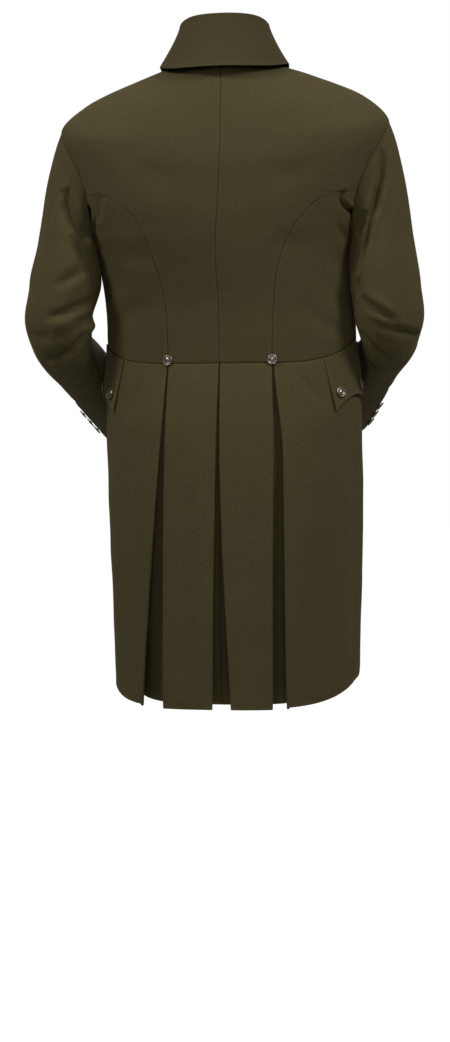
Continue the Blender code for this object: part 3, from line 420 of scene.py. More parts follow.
washed = add_node(tree, "ShaderNodeMix", {
    "Factor": (grain(tree, 9.0, 2.0, 0.5), "Fac"), 6: (mottled, "Color"), 7: linear("433C24"),
}, data_type="RGBA")
# Painted light and shade: a per-point value scales the cloth's colour, lighter as painted highlights beside
# seams and along edges, darker as painted shade in the seams and over the whole collar.
edge = add_node(tree, "ShaderNodeAttribute", attribute_name="painted_light_and_shade")
painted_brightness = add_node(tree, "ShaderNodeMapRange", {
    "Value": (edge, "Fac"), "From Min": -1.0, "From Max": 1.0, "To Min": 0.34, "To Max": 1.66}, clamp=False)
painted_colour = add_node(tree, "ShaderNodeMix", {
    "Factor": 1.0, 6: (washed, 2), 7: (painted_brightness, "Result")}, data_type="RGBA", blend_type="MULTIPLY")
nap_bump = bump(tree, grain(tree, 420.0, 3.0, 0.6), 0.55, 0.0008)
rib_bump = bump(tree, ribs, 0.30, 0.0004, Normal=(nap_bump, "Normal"))
feed(tree, shader, {"Base Color": (painted_colour, 2), "Normal": (rib_bump, "Normal")})

# Cotton sateen lining: smooth, a little glossy, darker than the cloth, with fine ribs along the cut.
LINING_RIB = 0.0015
lining, tree, shader = new_material("cotton_sateen_lining", Roughness=0.5, Specular_IOR_Level=0.4)
uv = add_node(tree, "ShaderNodeUVMap", uv_map="cut")
cords = add_node(tree, "ShaderNodeTexWave", {
    "Vector": (uv, "UV"), "Scale": WAVE_PERIOD / LINING_RIB, "Distortion": 0.6, "Detail": 1.0})
feed(tree, shader, {"Base Color": (two_tones(tree, cords, "2B2818", "332F1D"), "Color"),
                    "Normal": (bump(tree, cords, 0.2, 0.0003), "Normal")})

# Creases pressed and worn into the cloth, each given by points on the form, its half width and depth in
# mm, and how much of a ridge stands beside the trough, on its left going along. With a negative depth
# it is a ridge alone.


def crease(form, path, width, depth, ridge):
    """A crease with its line drawn out on the form, and its half width and depth in metres."""
    points = np.asarray(path, float)
    t = np.linspace(0, len(points) - 1, 8 * (len(points) - 1) + 1)
    k = np.arange(len(points))
    line = form(*(smooth(t, k, points[:, axis]) for axis in (0, 1)))
    return line, width / 1000, depth / 1000, ridge


def creased(points, outward, creases):
    """How far each point is moved out by the creases."""
    flat, ways = points.reshape(-1, 3), outward.reshape(-1, 3)
    moved = np.zeros(len(flat))
    for line, width, depth, ridge in creases:
        reach = 5 * width
        near = np.flatnonzero(((flat > line.min(0) - reach) & (flat < line.max(0) + reach)).all(1))
        if not len(near):
            continue
        p, n = flat[near], ways[near]
        best = np.full(len(near), 1e9)
        across, along = np.zeros(len(near)), np.zeros(len(near))
        length = path_length(line)
        for k in range(len(line) - 1):
            step = line[k + 1] - line[k]
            size = max(np.linalg.norm(step), 1e-9)
            t = np.clip(((p - line[k]) @ step) / size**2, 0, 1)
            off = p - (line[k] + t[:, None] * step)
            far = np.linalg.norm(off, axis=1)
            here = far < best
            best[here] = far[here]
            across[here] = (off * np.cross(n, step / size)).sum(1)[here]
            along[here] = ((length[k] + t * size) / length[-1])[here]
        fade = np.sqrt(np.sin(math.pi * np.clip(along, 0.0, 1.0)))
        trough = np.exp(-((best / width) ** 2))
        beside = np.exp(-(((across - 1.7 * width) / (1.2 * width)) ** 2) - (best / (3 * width)) ** 2)
        moved[near] += depth * fade * (ridge * beside - trough)
    return moved.reshape(points.shape[:-1])


RIPPLE_SIZE, RIPPLE_START = 0.055, 3.0
RIPPLE, COLLAR_RIPPLE = 0.0011, 0.0006


def settling(points, outward, creases=(), unevenness=RIPPLE):
    """How far the cloth lies out from its form: its creases, and a gentle unevenness, which is the
    same on both sides of a seam."""
    flat = points.reshape(-1, 3) / RIPPLE_SIZE + RIPPLE_START
    uneven = unevenness * np.array([noise.noise(p) for p in flat]).reshape(points.shape[:-1])
    return creased(points, outward, creases) + uneven


def settled(form, ways, creases, a, b, lift=0.0):
    """Points of the cloth as it has settled over a form, and the directions out of it."""
    points, outward = form(a, b), ways(a, b)
    out = settling(points, outward, creases) + lift
    return points + out[..., None] * outward, outward


def add_object(name, data):
    made = bpy.data.objects.new(name, data)
    bpy.context.scene.collection.objects.link(made)
    return made


def give_points(data, attribute, values, kind="FLOAT", field="value"):
    """Writes one value, or one vector, to each point of a mesh."""
    made = data.attributes.new(attribute, kind, "POINT")
    made.data.foreach_set(field, np.asarray(values, np.float32).ravel())


def cloth_piece(name, outer, inner, plan, painted_light_shade, lined):
    """A closed cloth wall as an object, with its cut as its UV map, and lining inside where it is lined."""
    points, faces, fronts = hull_shell(outer, inner)
    data = bpy.data.meshes.new(name)
    data.vertices.add(len(points))
    data.vertices.foreach_set("co", points.astype(np.float32).ravel())
    data.loops.add(faces.size)
    data.loops.foreach_set("vertex_index", faces.ravel().astype(np.int32))
    data.polygons.add(len(faces))
    data.polygons.foreach_set("loop_start", np.arange(0, faces.size, 4, dtype=np.int32))
    data.update(calc_edges=True)
    data.validate()
    cut = data.uv_layers.new(name="cut")
    flat = np.concatenate([plan.reshape(-1, 2)] * 2)
    cut.data.foreach_set("uv", flat[faces.ravel()].astype(np.float32).ravel())
    # The painted highlights and shade go on the outer face only; the inner face has none.
    give_points(data, "painted_light_and_shade", np.concatenate([painted_light_shade.ravel(), 0 * painted_light_shade.ravel()]))
    data.materials.append(olive_twill)
    data.materials.append(lining)
    if lined is not None:
        inside = lined[:-1, :-1] & lined[1:, :-1] & lined[:-1, 1:] & lined[1:, 1:]
        slots = np.zeros(len(faces), np.int32)
        slots[fronts:2 * fronts] = inside.ravel()
        data.polygons.foreach_set("material_index", slots)
    data.polygons.foreach_set("use_smooth", np.ones(len(faces), bool))
    return add_object(name, data)


def laid_flat(points, hangs):
    """Where each grid point lay on the cut, in metres, with the cut's greatest width and length and its
    area, all from the form before it creases. On a piece that hangs, rows may slant, so there it goes
    by the way round and the way down."""
    down, _, over, _ = from_edges(points)
    length = float(down[-1].max())
    down = np.broadcast_to(down[:, down.shape[1] // 2][:, None], over.shape)
    if hangs:
        over = from_edges(points * LEVEL)[2]
        down = points[:1, :, 2] - points[..., 2]
    width = float(over[:, -1].max())
    a, b = points[1:, 1:] - points[:-1, :-1], points[1:, :-1] - points[:-1, 1:]
    area = np.linalg.norm(np.cross(a, b), axis=2).sum() / 2
    plan = np.stack([over - over[:, -1:] / 2, -down], axis=-1)
    return plan, (round(width, 3), round(length, 3)), round(float(min(area, width * length)), 4)


def finish_cloth(node, base, outward, out, seam_edges, open_edges, lined=None,
                 thickness=CLOTH, skins=None, hangs=False, painted_shade=0.0):
    """Rolls the wall's edges and makes the object. Edges go by first and last row, first and last column."""
    dip, roll = np.zeros(base.shape[:-1]), np.zeros(base.shape[:-1])
    # Painted light and shade, per point: it starts at the painted shade given for the whole piece, then gains
    # a painted highlight beside each seam and along each open edge, and painted shade in each seam's groove.
    painted_light_shade = np.full(base.shape[:-1], painted_shade)
    half = thickness / 2
    for distance, seam, opened in zip(from_edges(base), seam_edges, open_edges):
        dip = np.maximum(dip, seam * SEAM_DIP * np.clip(1 - distance / SEAM_ROLL, 0, 1) ** 2)
        painted_light_shade = painted_light_shade + seam * (SEAM_PAINTED_HIGHLIGHT * np.exp(-(((distance - SEAM_HIGHLIGHT_AT) / SEAM_HIGHLIGHT_WIDTH) ** 2))
                              - SEAM_PAINTED_SHADE * np.exp(-((distance / SEAM_SHADE_WIDTH) ** 2)))
        short = np.clip(half - distance, 0, half)
        roll = np.maximum(roll, opened * (half - np.sqrt(np.maximum(half**2 - short**2, 0))))
        painted_light_shade = painted_light_shade + opened * EDGE_PAINTED_HIGHLIGHT * np.exp(-((distance / EDGE_HIGHLIGHT_WIDTH) ** 2))
    outer, inner = skins or (base, base - thickness * outward)
    outer, inner = (face + (out - dip)[..., None] * outward for face in (outer, inner))
    inwards = roll[..., None] * unit(outer - inner) * ROLL_SHARE
    plan, flat, area = laid_flat(base, hangs)
    piece = cloth_piece(f"{node}_cloth", outer - inwards, inner + inwards, plan, painted_light_shade, lined)
    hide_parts(node)
    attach(piece, "root")


def pull_in(points, rows=(0.0, 0.0), cols=(0.0, 0.0)):
    """The grid with its edges moved in along the cloth, for a seam's gap."""
    moved = points.copy()
    moved[0] += rows[0] * unit(points[3] - points[0])
    moved[-1] += rows[1] * unit(points[-4] - points[-1])
    moved[:, 0] += cols[0] * unit(points[:, 3] - points[:, 0])
    moved[:, -1] += cols[1] * unit(points[:, -4] - points[:, -1])
    return moved


def panel_grid(form, rows, low, high):
    """A panel's places across its rows, from low to high, at the rows' places on the form."""
    over = (high - low)[:, None]
    samples = form(low[:, None] + over * np.linspace(0, 1, 9), rows[:, None])
    lengths = np.linalg.norm(np.diff(samples, axis=1), axis=2).sum(axis=1)
    return low[:, None] + over * steps_across(lengths)


def levels_between(angle, marks, by_armhole, steps=(1, 1, 1)):
    """Levels up a panel, a mesh step apart, with a row at each mark and turning with the armhole."""
    rows = []
    for k, (low, high) in enumerate(zip(marks[:-1], marks[1:])):
        near = (k == 0, k == len(marks) - 2)
        if by_armhole[k]:
            start, end = np.degrees(np.arccos(armhole_share([low, high])))
            line = lambda t: bodice(*armhole(1, -t))
            turns = steps_along(line, start, end, STEP * steps[k], near=(False, near[1]))
            part = ARMHOLE_MID + ARMHOLE_HALF * np.cos(np.radians(turns))
        else:
            line = lambda v: bodice(np.full(v.shape, float(angle)), v)
            part = steps_along(line, low, high, STEP * steps[k], near=near)
        rows.append(part if k == 0 else part[1:])
    return np.concatenate(rows)


def armhole_ways(side, turn):
    """The directions that bodice and sleeve share round the armhole."""
    angle, level = armhole(side, turn)
    centre = bodice(side * 90.0, ARMHOLE_MID)
    return unit(bodice_normals(angle, level) + unit(bodice(angle, level) - centre))


def side_seam(levels):
    """The side seam, which runs up to the lowest point of the armhole."""
    rise = np.clip((levels - SIDE_SEAM_BEND) / (ARMHOLE_LOW - SIDE_SEAM_BEND), 0, 1)
    return SIDE_SEAM_ANGLE + (90 - SIDE_SEAM_ANGLE) * rise


SIDE_SEAM_ANGLE, SIDE_SEAM_BEND = 97, 0.36
BODY_CREASES = [crease(bodice, *c) for c in (
    # at the back of each arm and under it
    (((55, 0.638), (54, 0.608), (59, 0.584), (69, 0.564), (84, 0.548)), 4.2, 10.0, 0.4),
    (((66, 0.580), (76, 0.565), (88, 0.555)), 8, 3.5, 0.3),
    (((58, 0.530), (64, 0.500), (72, 0.470)), 8, 3.6, 0.3),
    (((-61, 0.562), (-68, 0.520), (-68, 0.470), (-64, 0.430)), 6, 6.6, 0.4),
    (((-64, 0.596), (-74, 0.562), (-88, 0.540)), 9, 9.5, 0.4),
    (((-52, 0.640), (-55, 0.590), (-60, 0.545)), 9, 3.9, 0.5),
    # drawn softly from the arms towards the middle of the back
    (((38, 0.767), (27, 0.703), (14, 0.670)), 20, 2.2, 0.2),
    (((-34, 0.787), (-22, 0.713), (-9, 0.673)), 22, 2.2, 0.2),
    (((50, 0.470), (36, 0.450), (22, 0.455)), 17, 2.0, 0.2),
    (((-56, 0.440), (-38, 0.410), (-24, 0.425)), 18, 2.1, 0.2),
    # above the waist seam
    (((76, 0.070), (49, 0.147), (37, 0.233)), 13, 2.7, 0.3),
    (((84, 0.160), (62, 0.250), (48, 0.330)), 15, 2.4, 0.3),
    (((-84, 0.120), (-60, 0.150), (-30, 0.240)), 14, 2.8, 0.3),
    (((-80, 0.240), (-60, 0.300), (-44, 0.340)), 16, 2.2, 0.3),
    # round the fronts, from the armholes and from the buttons
    (((116, 0.560), (132, 0.610), (148, 0.700)), 9, 4.8, 0.5),
    (((110, 0.500), (128, 0.515), (150, 0.570)), 8, 3.6, 0.4),
    (((-118, 0.580), (-134, 0.640), (-146, 0.720)), 10, 4.5, 0.5),
    (((-110, 0.510), (-130, 0.540), (-154, 0.580)), 8, 3.9, 0.4),
    (((100, 0.180), (126, 0.225), (168, 0.240)), 9, 2.8, 0.3),
    (((104, 0.330), (134, 0.390), (170, 0.425)), 10, 2.4, 0.3),
    (((-100, 0.150), (-130, 0.215), (-166, 0.235)), 9, 3.0, 0.3),
    (((-106, 0.350), (-136, 0.405), (-168, 0.420)), 11, 2.2, 0.3),
    (((112, 0.030), (140, 0.060), (170, 0.055)), 8, 2.2, 0.3),
    (((-114, 0.040), (-142, 0.065), (-170, 0.050)), 9, 2.2, 0.3),
)]


def bodice_panel(name, side, levels, low, high, on_armhole, front=False):
    """A bodice panel between two angles at each level. The armhole cuts its far edge, or a front's near
    one, at the levels that are on it."""
    angles = panel_grid(bodice, levels, low, high)
    grid = np.broadcast_to(levels[:, None], angles.shape)
    base, outward = bodice(side * angles, grid), bodice_ways(side * angles, grid)
    turn = np.degrees(np.arccos(armhole_share(levels))) * (1 if front else -1)
    beside = np.broadcast_to((on_armhole & (levels <= ARMHOLE_HIGH + TINY))[:, None], angles.shape)
    far = from_edges(base)[2 if front else 3]
    outward = bring_together(outward, armhole_ways(side, turn)[:, None], far, beside)
    out = settling(base, outward, BODY_CREASES)
    seams, opens = (True,) * 4, (False,) * 4
    if front:
        waist, neck = angles < SKIRT_FRONT_DEG, angles < STAND_END_DEG
        seams, opens = (waist, neck, True, False), (~waist, ~neck, False, True)
        if side < 0:
            out = out + LAP_RISE * ease((angles - LAP_START_DEG) / LAP_FADE_DEG)
    base = pull_in(base, rows=(HALF_SEAM, HALF_SEAM), cols=(HALF_SEAM, HALF_SEAM))
    finish_cloth(name, base, outward, out, seams, opens)


for word, side in SIDES:
    levels = levels_between(45, (0, TIP_ROWS, ARMHOLE_MID, ARMHOLE_HIGH, 1.0), (0, 0, 1, 0), (1, 0.35, 1, 1))
    limit = 90 - armhole_limit(levels, ARMHOLE_BACK_DEG)
    below = np.minimum(curve_angle(levels), limit - SIDE_BACK_TIP_DEG)
    limit = np.where(levels > ARMHOLE_MID + TINY, limit, below)
    bodice_panel(f"back_{word}", side, levels, 0 * levels, limit, levels >= ARMHOLE_MID - TINY)

# Side backs. Narrow shaped panels of the twill, sewn in from the curved seam to the side seam under the
# arm, drawn in at the waist and ending in a point where the curved seam meets the armhole.
for word, side in SIDES:
    levels = levels_between(80, (0, ARMHOLE_LOW, TIP_ROWS, ARMHOLE_MID), (0, 1, 1), (1, 1, 0.35))
    on_armhole = levels >= ARMHOLE_LOW - TINY
    limit = np.where(on_armhole, 90 - armhole_limit(levels, ARMHOLE_BACK_DEG), side_seam(levels))
    start = np.minimum(curve_angle(levels), limit - SIDE_BACK_TIP_DEG)
    bodice_panel(f"side_back_{word}", side, levels, start, limit, on_armhole)

# Fronts. Two panels of the twill, single-breasted and closed by five buttons, with a turned edge. The
# left laps over the right at the middle.
FRONT_LAP_DEG, LAP_FADE_DEG = 9, 16
LAP_START_DEG = 180 - FRONT_LAP_DEG - LAP_FADE_DEG
LAP_RISE = CLOTH + 0.0012
SKIRT_FRONT_DEG = 163.9  # where the skirt's cut-away edge starts at the waist
for word, side in SIDES:
    levels = levels_between(125, (0, ARMHOLE_LOW, ARMHOLE_HIGH, 1.0), (0, 1, 0))
    on_armhole = levels >= ARMHOLE_LOW - TINY
    start = np.where(on_armhole, 90 + armhole_limit(levels, ARMHOLE_FRONT_DEG), side_seam(levels))
    bodice_panel(f"front_{word}", side, levels, start, np.full(levels.shape, 180.0 + FRONT_LAP_DEG),
                 on_armhole, front=True)

# Sleeves. Each is a top and an under panel of lined twill, cut with a bent elbow and sewn along the hind
# and fore arm. The head is eased into the armhole, and the worn elbow is full of folds.
SLEEVE = "share x y z half_width half_depth bend toe".split()
SLEEVES = {
    1: np.array([
        (0.22, 0.2600, -0.014, -0.302, 0.0520, 0.074, -9, 14),
        (0.36, 0.2625, -0.026, -0.362, 0.0585, 0.073, -9, 24),
        (0.50, 0.2710, -0.030, -0.420, 0.0545, 0.070, 8, 22),
        (0.60, 0.2705, -0.008, -0.456, 0.0460, 0.062, 34, 12),
        (0.72, 0.2470, 0.064, -0.486, 0.0430, 0.053, 57, 0),
        (0.88, 0.2120, 0.150, -0.533, 0.0450, 0.048, 62, 0),
        (1.00, 0.1910, 0.205, -0.566, 0.0440, 0.047, 62, 0),
    ]),
    -1: np.array([
        (0.22, 0.2600, -0.014, -0.302, 0.0500, 0.074, -9, 14),
        (0.36, 0.2620, -0.026, -0.362, 0.0580, 0.073, -9, 24),
        (0.50, 0.2723, -0.030, -0.420, 0.0545, 0.070, 8, 22),
        (0.60, 0.2690, -0.008, -0.458, 0.0500, 0.063, 34, 12),
        (0.72, 0.2460, 0.064, -0.494, 0.0470, 0.055, 57, 0),
        (0.88, 0.2110, 0.150, -0.545, 0.0460, 0.049, 62, 0),
        (1.00, 0.1890, 0.205, -0.578, 0.0440, 0.047, 62, 0),
    ]),
}
SLEEVE_TOP = 0.22  # the share at which the eased head ends
BELOW_TOP = 0.02  # from there to where its direction is read
SLEEVE_ROWS_DEG = 20  # the line down the sleeve on which the rows are a mesh step apart
SLEEVE_SEAMS = (0.7, 0, 0.35, 0.35)  # how marked the armhole's seam and the arm's own two are
SLEEVE_FACING = 0.93  # from here to the cuff, the inside is faced with the cloth
CAP_FULLNESS = 0.042
UPPER_ROOM = 0.0030  # between an upper sleeve and the coat's side, where they all but touch
SIDE_ROOM = 0.0115  # between a forearm and the coat's side, for the flap and its buttons
ROOM_Z = {1: (-0.41, -0.45), -1: (-0.355, -0.41)}  # where the one goes over to the other, each side
SIDE_ROOM_BLEND, ARRIVAL = 0.004, 2.0
FOREARM_INWARD = 0.34
HIND_SEAM_DEG, FORE_SEAM_DEG = (-45, -16), (120, 118)  # at the armhole and at the cuff


def coat_side(side, y, z):
    """How far out the coat's side lies at a place beside it, above or below the waist seam."""
    above = columns_at(RING, BODICE, np.interp(z, BODICE[:, 3], BODICE[:, 0]))
    below = columns_at(DROP, SKIRT, BODICE[0][3] - z)
    s = {name: np.where(z > BODICE[0][3], above[name], below[name]) for name in below}
    turn = np.radians(s["turn"])
    y = y * np.cos(turn) + side * s["side_x"] * np.sin(turn)
    end = np.where(y < s["side_y"], s["back_y"], s["front_y"])
    share = np.clip((y - s["side_y"]) / (end - s["side_y"]), 0.0, 1.0)
    x = s["side_x"] * (1 - share ** s["square"]) ** (1 / s["square"])
    return x * np.cos(turn) + side * (y * np.sin(turn) + s["shift"])


def side_room(side, z):
    """The room that the sleeve leaves beside the coat at a height."""
    start, end = ROOM_Z[side]
    return UPPER_ROOM + (SIDE_ROOM - UPPER_ROOM) * ease((start - z) / (start - end))


def sleeve_ring(side, turn, share):
    """A point of the sleeve below its head: a ring square to the arm, kept clear of the coat's side."""
    s = columns_at(SLEEVE, SLEEVES[side], share)
    centre = np.stack([s["x"], s["y"], s["z"]], axis=-1)
    bend = np.radians(s["bend"])
    inward = FOREARM_INWARD * np.maximum(np.sin(bend), 0.0)
    along = unit(np.stack([-inward, np.sin(bend), -np.cos(bend)], axis=-1))
    forward = np.array([0.0, 1.0, 0.0])
    fore = unit(forward - (along @ forward)[..., None] * along)
    outer = np.cross(along, fore)
    toe = np.radians(s["toe"])[..., None]
    fore, outer = fore * np.cos(toe) + outer * np.sin(toe), outer * np.cos(toe) - fore * np.sin(toe)
    turn = np.radians(turn)[..., None]
    point = (centre + outer * s["half_width"][..., None] * np.cos(turn)
             + fore * s["half_depth"][..., None] * np.sin(turn))
    nearest = coat_side(side, point[..., 1], point[..., 2]) + side_room(side, point[..., 2])
    over = point[..., 0] - nearest
    point[..., 0] = nearest + 0.5 * (over + np.sqrt(over**2 + SIDE_ROOM_BLEND**2))
    return point * np.array([side, 1.0, 1.0])


def sleeve(side, turn, share):
    """A point of the sleeve form: turn runs from the outside of the arm round its front."""
    turn, share = floats(turn, share)
    start = bodice(*armhole(side, turn))
    t = np.clip(share / SLEEVE_TOP, 0.0, 1.0)[..., None]
    below = sleeve_ring(side, turn, np.full(turn.shape, SLEEVE_TOP))
    after = sleeve_ring(side, turn, np.full(turn.shape, SLEEVE_TOP + BELOW_TOP))
    swell = CAP_FULLNESS * np.maximum(np.cos(np.radians(turn)), 0.0)
    leave = below - start + swell[..., None] * np.array([side, 0.0, 0.0])
    arrive = (after - below) / BELOW_TOP * SLEEVE_TOP
    span = np.linalg.norm(below - start, axis=-1, keepdims=True)
    pace = np.linalg.norm(arrive, axis=-1, keepdims=True)
    arrive = arrive * np.minimum(1.0, ARRIVAL * span / pace)
    cap = hermite(t, start, leave, below, arrive)
    return np.where(share[..., None] < SLEEVE_TOP, cap, sleeve_ring(side, turn, share))


def sleeve_ways(side, turn, share):
    return form_normals(partial(sleeve, side), turn, share, 0.0, 1.0, up=-side, step_a=1.0)


SLEEVE_CREASES = {side: [crease(partial(sleeve, side), *c) for c in creases] for side, creases in (
    (1, (
        # down the back of the upper arm
        (((-62, 0.070), (-74, 0.103), (-88, 0.140), (-94, 0.187), (-96, 0.240), (-97, 0.300), (-104, 0.350)),
         5.5, 10.5, 0.5),
        (((-44, 0.015), (-56, 0.055), (-70, 0.098), (-82, 0.150)), 7.5, 9.5, 0.4),
        (((-46, 0.050), (-46, 0.085), (-44, 0.115), (-42, 0.155)), 6.5, -3.0, 0.0),
        (((-24, 0.090), (-20, 0.160), (-26, 0.250)), 12, 2.6, 0.3),
        (((-96, 0.100), (-110, 0.150), (-124, 0.200)), 11, 7.0, 0.2),
        (((-108, 0.240), (-114, 0.300), (-120, 0.360)), 11, 5.0, 0.2),
        (((-112, 0.200), (-120, 0.300), (-124, 0.400), (-122, 0.480)), 18, 5.0, 0.2),
        # behind the elbow
        (((-106, 0.370), (-108, 0.400), (-112, 0.430)), 9, 6.4, 0.3),
        (((-110, 0.432), (-80, 0.468), (-46, 0.506)), 6.5, 8.5, 0.6),
        (((-100, 0.503), (-68, 0.517), (-34, 0.527), (14, 0.553)), 6.5, 7.0, 0.6),
        (((-124, 0.540), (-100, 0.562), (-84, 0.580), (-56, 0.594)), 6, 10.0, 0.5),
        (((-122, 0.620), (-92, 0.640), (-64, 0.634)), 7, 3.8, 0.4),
        # in the crook of the elbow
        (((56, 0.500), (92, 0.535), (132, 0.520)), 6.5, 9.6, 0.6),
        (((44, 0.560), (88, 0.578), (138, 0.568)), 6, 9.6, 0.6),
        (((66, 0.440), (98, 0.468), (132, 0.452)), 8, 6.4, 0.5),
        (((40, 0.615), (84, 0.622), (126, 0.628)), 7, 4.8, 0.5),
        # the front of the head, and the forearm
        (((66, 0.050), (54, 0.120), (44, 0.210)), 10, 3.8, 0.4),
        (((104, 0.100), (92, 0.200), (88, 0.310)), 9, 4.8, 0.5),
        (((4, 0.670), (44, 0.715), (84, 0.720)), 8, 3.2, 0.4),
        (((-30, 0.770), (16, 0.795), (62, 0.785)), 8, 2.6, 0.4),
    )),
    (-1, (
        (((-62, 0.020), (-58, 0.075), (-56, 0.127), (-52, 0.167), (-46, 0.220), (-38, 0.277)),
         3.8, -3.2, 0.0),
        (((-58, 0.070), (-78, 0.116), (-104, 0.166), (-130, 0.215)), 10, 15.0, 0.2),
        (((-92, 0.205), (-98, 0.255), (-106, 0.310)), 10, 6.5, 0.2),
        (((-22, 0.080), (-14, 0.150), (-18, 0.230)), 12, 2.6, 0.3),
        (((-100, 0.230), (-112, 0.290), (-124, 0.360)), 13, 5.0, 0.2),
        (((-108, 0.200), (-118, 0.300), (-124, 0.400), (-122, 0.470)), 18, 6.0, 0.2),
        (((-112, 0.540), (-136, 0.530), (-168, 0.535)), 10, -7.5, 0.0),
        # behind the elbow
        (((-112, 0.315), (-84, 0.362), (-56, 0.406)), 9, 7.0, 0.4),
        (((-140, 0.436), (-100, 0.460), (-74, 0.477), (-48, 0.486)), 7, 10.0, 0.4),
        (((-104, 0.498), (-80, 0.510), (-56, 0.516)), 8, -2.6, 0.0),
        (((-142, 0.498), (-122, 0.513), (-106, 0.535)), 10, 8.3, 0.3),
        (((-130, 0.534), (-108, 0.564), (-86, 0.583), (-74, 0.584), (-42, 0.589)), 6, 12.0, 0.4),
        (((-104, 0.530), (-84, 0.552), (-56, 0.560)), 8, -4.0, 0.0),
        (((-92, 0.612), (-72, 0.612), (-44, 0.618)), 8, -3.0, 0.0),
        (((-60, 0.530), (-36, 0.540), (-6, 0.532)), 8, 4.2, 0.5),
        (((-124, 0.680), (-96, 0.687), (-66, 0.693)), 7, 3.5, 0.4),
        # in the crook of the elbow
        (((52, 0.510), (90, 0.540), (134, 0.530)), 6.5, 9.6, 0.6),
        (((40, 0.575), (86, 0.590), (136, 0.580)), 6, 9.6, 0.6),
        (((62, 0.450), (96, 0.475), (130, 0.462)), 8, 6.7, 0.5),
        (((36, 0.630), (82, 0.636), (122, 0.640)), 7, 4.5, 0.5),
        # the front of the head, and the forearm
        (((70, 0.060), (56, 0.130), (48, 0.200)), 10, 3.8, 0.4),
        (((108, 0.110), (96, 0.210), (90, 0.300)), 9, 4.8, 0.5),
        (((0, 0.690), (40, 0.730), (80, 0.735)), 8, 3.2, 0.4),
        (((-34, 0.790), (10, 0.805), (58, 0.800)), 8, 2.6, 0.4),
    )),
)}


def sleeve_panel(name, side, first, last):
    """A sleeve panel between two seams, each given by its turn at the armhole and at the cuff."""
    form = partial(sleeve, side)
    shares = steps_along(partial(form, SLEEVE_ROWS_DEG), 0.0, 1.0)
    low = first[0] + (first[1] - first[0]) * shares
    high = last[0] + (last[1] - last[0]) * shares
    turns = panel_grid(form, shares, low, high)
    grid = np.broadcast_to(shares[:, None], turns.shape)
    base, outward = form(turns, grid), sleeve_ways(side, turns, grid)
    outward = bring_together(outward, armhole_ways(side, turns), from_edges(base)[0])
    out = settling(base, outward, SLEEVE_CREASES[side])
    base = pull_in(base, rows=(HALF_SEAM, 0.0), cols=(HALF_SEAM, HALF_SEAM))
    finish_cloth(name, base, outward, out, SLEEVE_SEAMS, (0, 1, 0, 0),
                 lined=grid < SLEEVE_FACING)


for word, side in SIDES:
    sleeve_panel(f"top_sleeve_{word}", side, HIND_SEAM_DEG, FORE_SEAM_DEG)
    sleeve_panel(f"under_sleeve_{word}", side, FORE_SEAM_DEG, tuple(d + 360 for d in HIND_SEAM_DEG))

# Collar stand. A firm band sewn to the neckline; it stands up round the neck and ends short of the
# fronts' edges. It is of the coat's cloth on both sides, over canvas.
COLLAR_CLOTH, STAND_HEIGHT = 0.0022, 0.075
COLLAR_PAINTED_SHADE = -0.28  # painted shade: the whole collar's colour is made darker


def collar_panel(name, form, ways, angles, shares, sewn):
    """A collar piece over its form. One that isn't sewn to the neckline rolls over at its upper edge."""
    grid = np.broadcast_to(shares[:, None], angles.shape)
    base, outward = form(angles, grid), ways(angles, grid)
    if not sewn:
        base, outward = rolled(base, outward)
    out = settling(base, outward, unevenness=COLLAR_RIPPLE)
    base = pull_in(base, rows=(HALF_SEAM * sewn, 0.0))
    finish_cloth(name, base, outward, out, (sewn, False, False, False), (not sewn, True, True, True),
                 thickness=COLLAR_CLOTH, painted_shade=COLLAR_PAINTED_SHADE)


def stand_ways(angle, rise):
    found = form_normals(stand, angle, rise, -0.05, 1.05, step_b=0.02)
    return bring_together(found, neck_ways(angle), rise * STAND_HEIGHT)


rises = steps_along(partial(stand, 0.0), 0.0, 1.0)
round_neck = path_length(stand(np.linspace(-STAND_END_DEG, STAND_END_DEG, 81), 0.0))[-1]
across = steps_across(np.full(rises.shape, round_neck))
collar_panel("collar_stand", stand, stand_ways, (2 * across - 1) * STAND_END_DEG, rises, sewn=True)

# Collar fall. The turned-down leaf, of two layers of the cloth with a turned and stitched edge. It
# rolls over the top of the stand and lies on the shoulders.
EDGE_RING = dict(zip(COLLAR_RING, (0.1070, -0.010, -0.003, -0.108, -0.016, 0.104, -0.092)))
FALL_END_DEG = (158, 146)  # at the fold line and at the outer edge
FALL_GAP = 0.0012  # between the fall and the top of the stand
FALL_BELLY = 1.25  # how much the fall bellies out on its way down
ROLL_RADIUS, ROLL_STEPS = 0.0036, 9


def fall(angle, share):
    """A point of the fall's form, from the fold line to its outer edge."""
    angle, share = floats(angle, share)
    top, edge = collar_ring(FOLD_RING, angle), collar_ring(EDGE_RING, angle)
    outward = unit((edge - top) * LEVEL)
    top = top + outward * (2 * COLLAR_CLOTH) + np.array([0, 0, FALL_GAP])
    point = top + (edge - top) * share[..., None]
    point[..., :2] += (edge - top)[..., :2] * (share**FALL_BELLY - share)[..., None]
    return point


def fall_ways(angle, share):
    return form_normals(fall, angle, share, 0.0, 1.0, up=-1, step_b=0.02)


def rolled(base, outward):
    """Adds the roll over the stand: half a turn from the fall's upper row to the inside."""
    flat = unit(outward[0] * LEVEL)
    centre = base[0] - ROLL_RADIUS * flat
    turns = np.radians(np.linspace(180, 0, ROLL_STEPS))[:-1]
    ways = flat[None] * np.cos(turns)[:, None, None] + np.array([0, 0, 1.0]) * np.sin(turns)[:, None, None]
    return np.concatenate([centre + ROLL_RADIUS * ways, base]), np.concatenate([ways, outward])


def fall_end(share):
    return FALL_END_DEG[0] + (FALL_END_DEG[1] - FALL_END_DEG[0]) * share


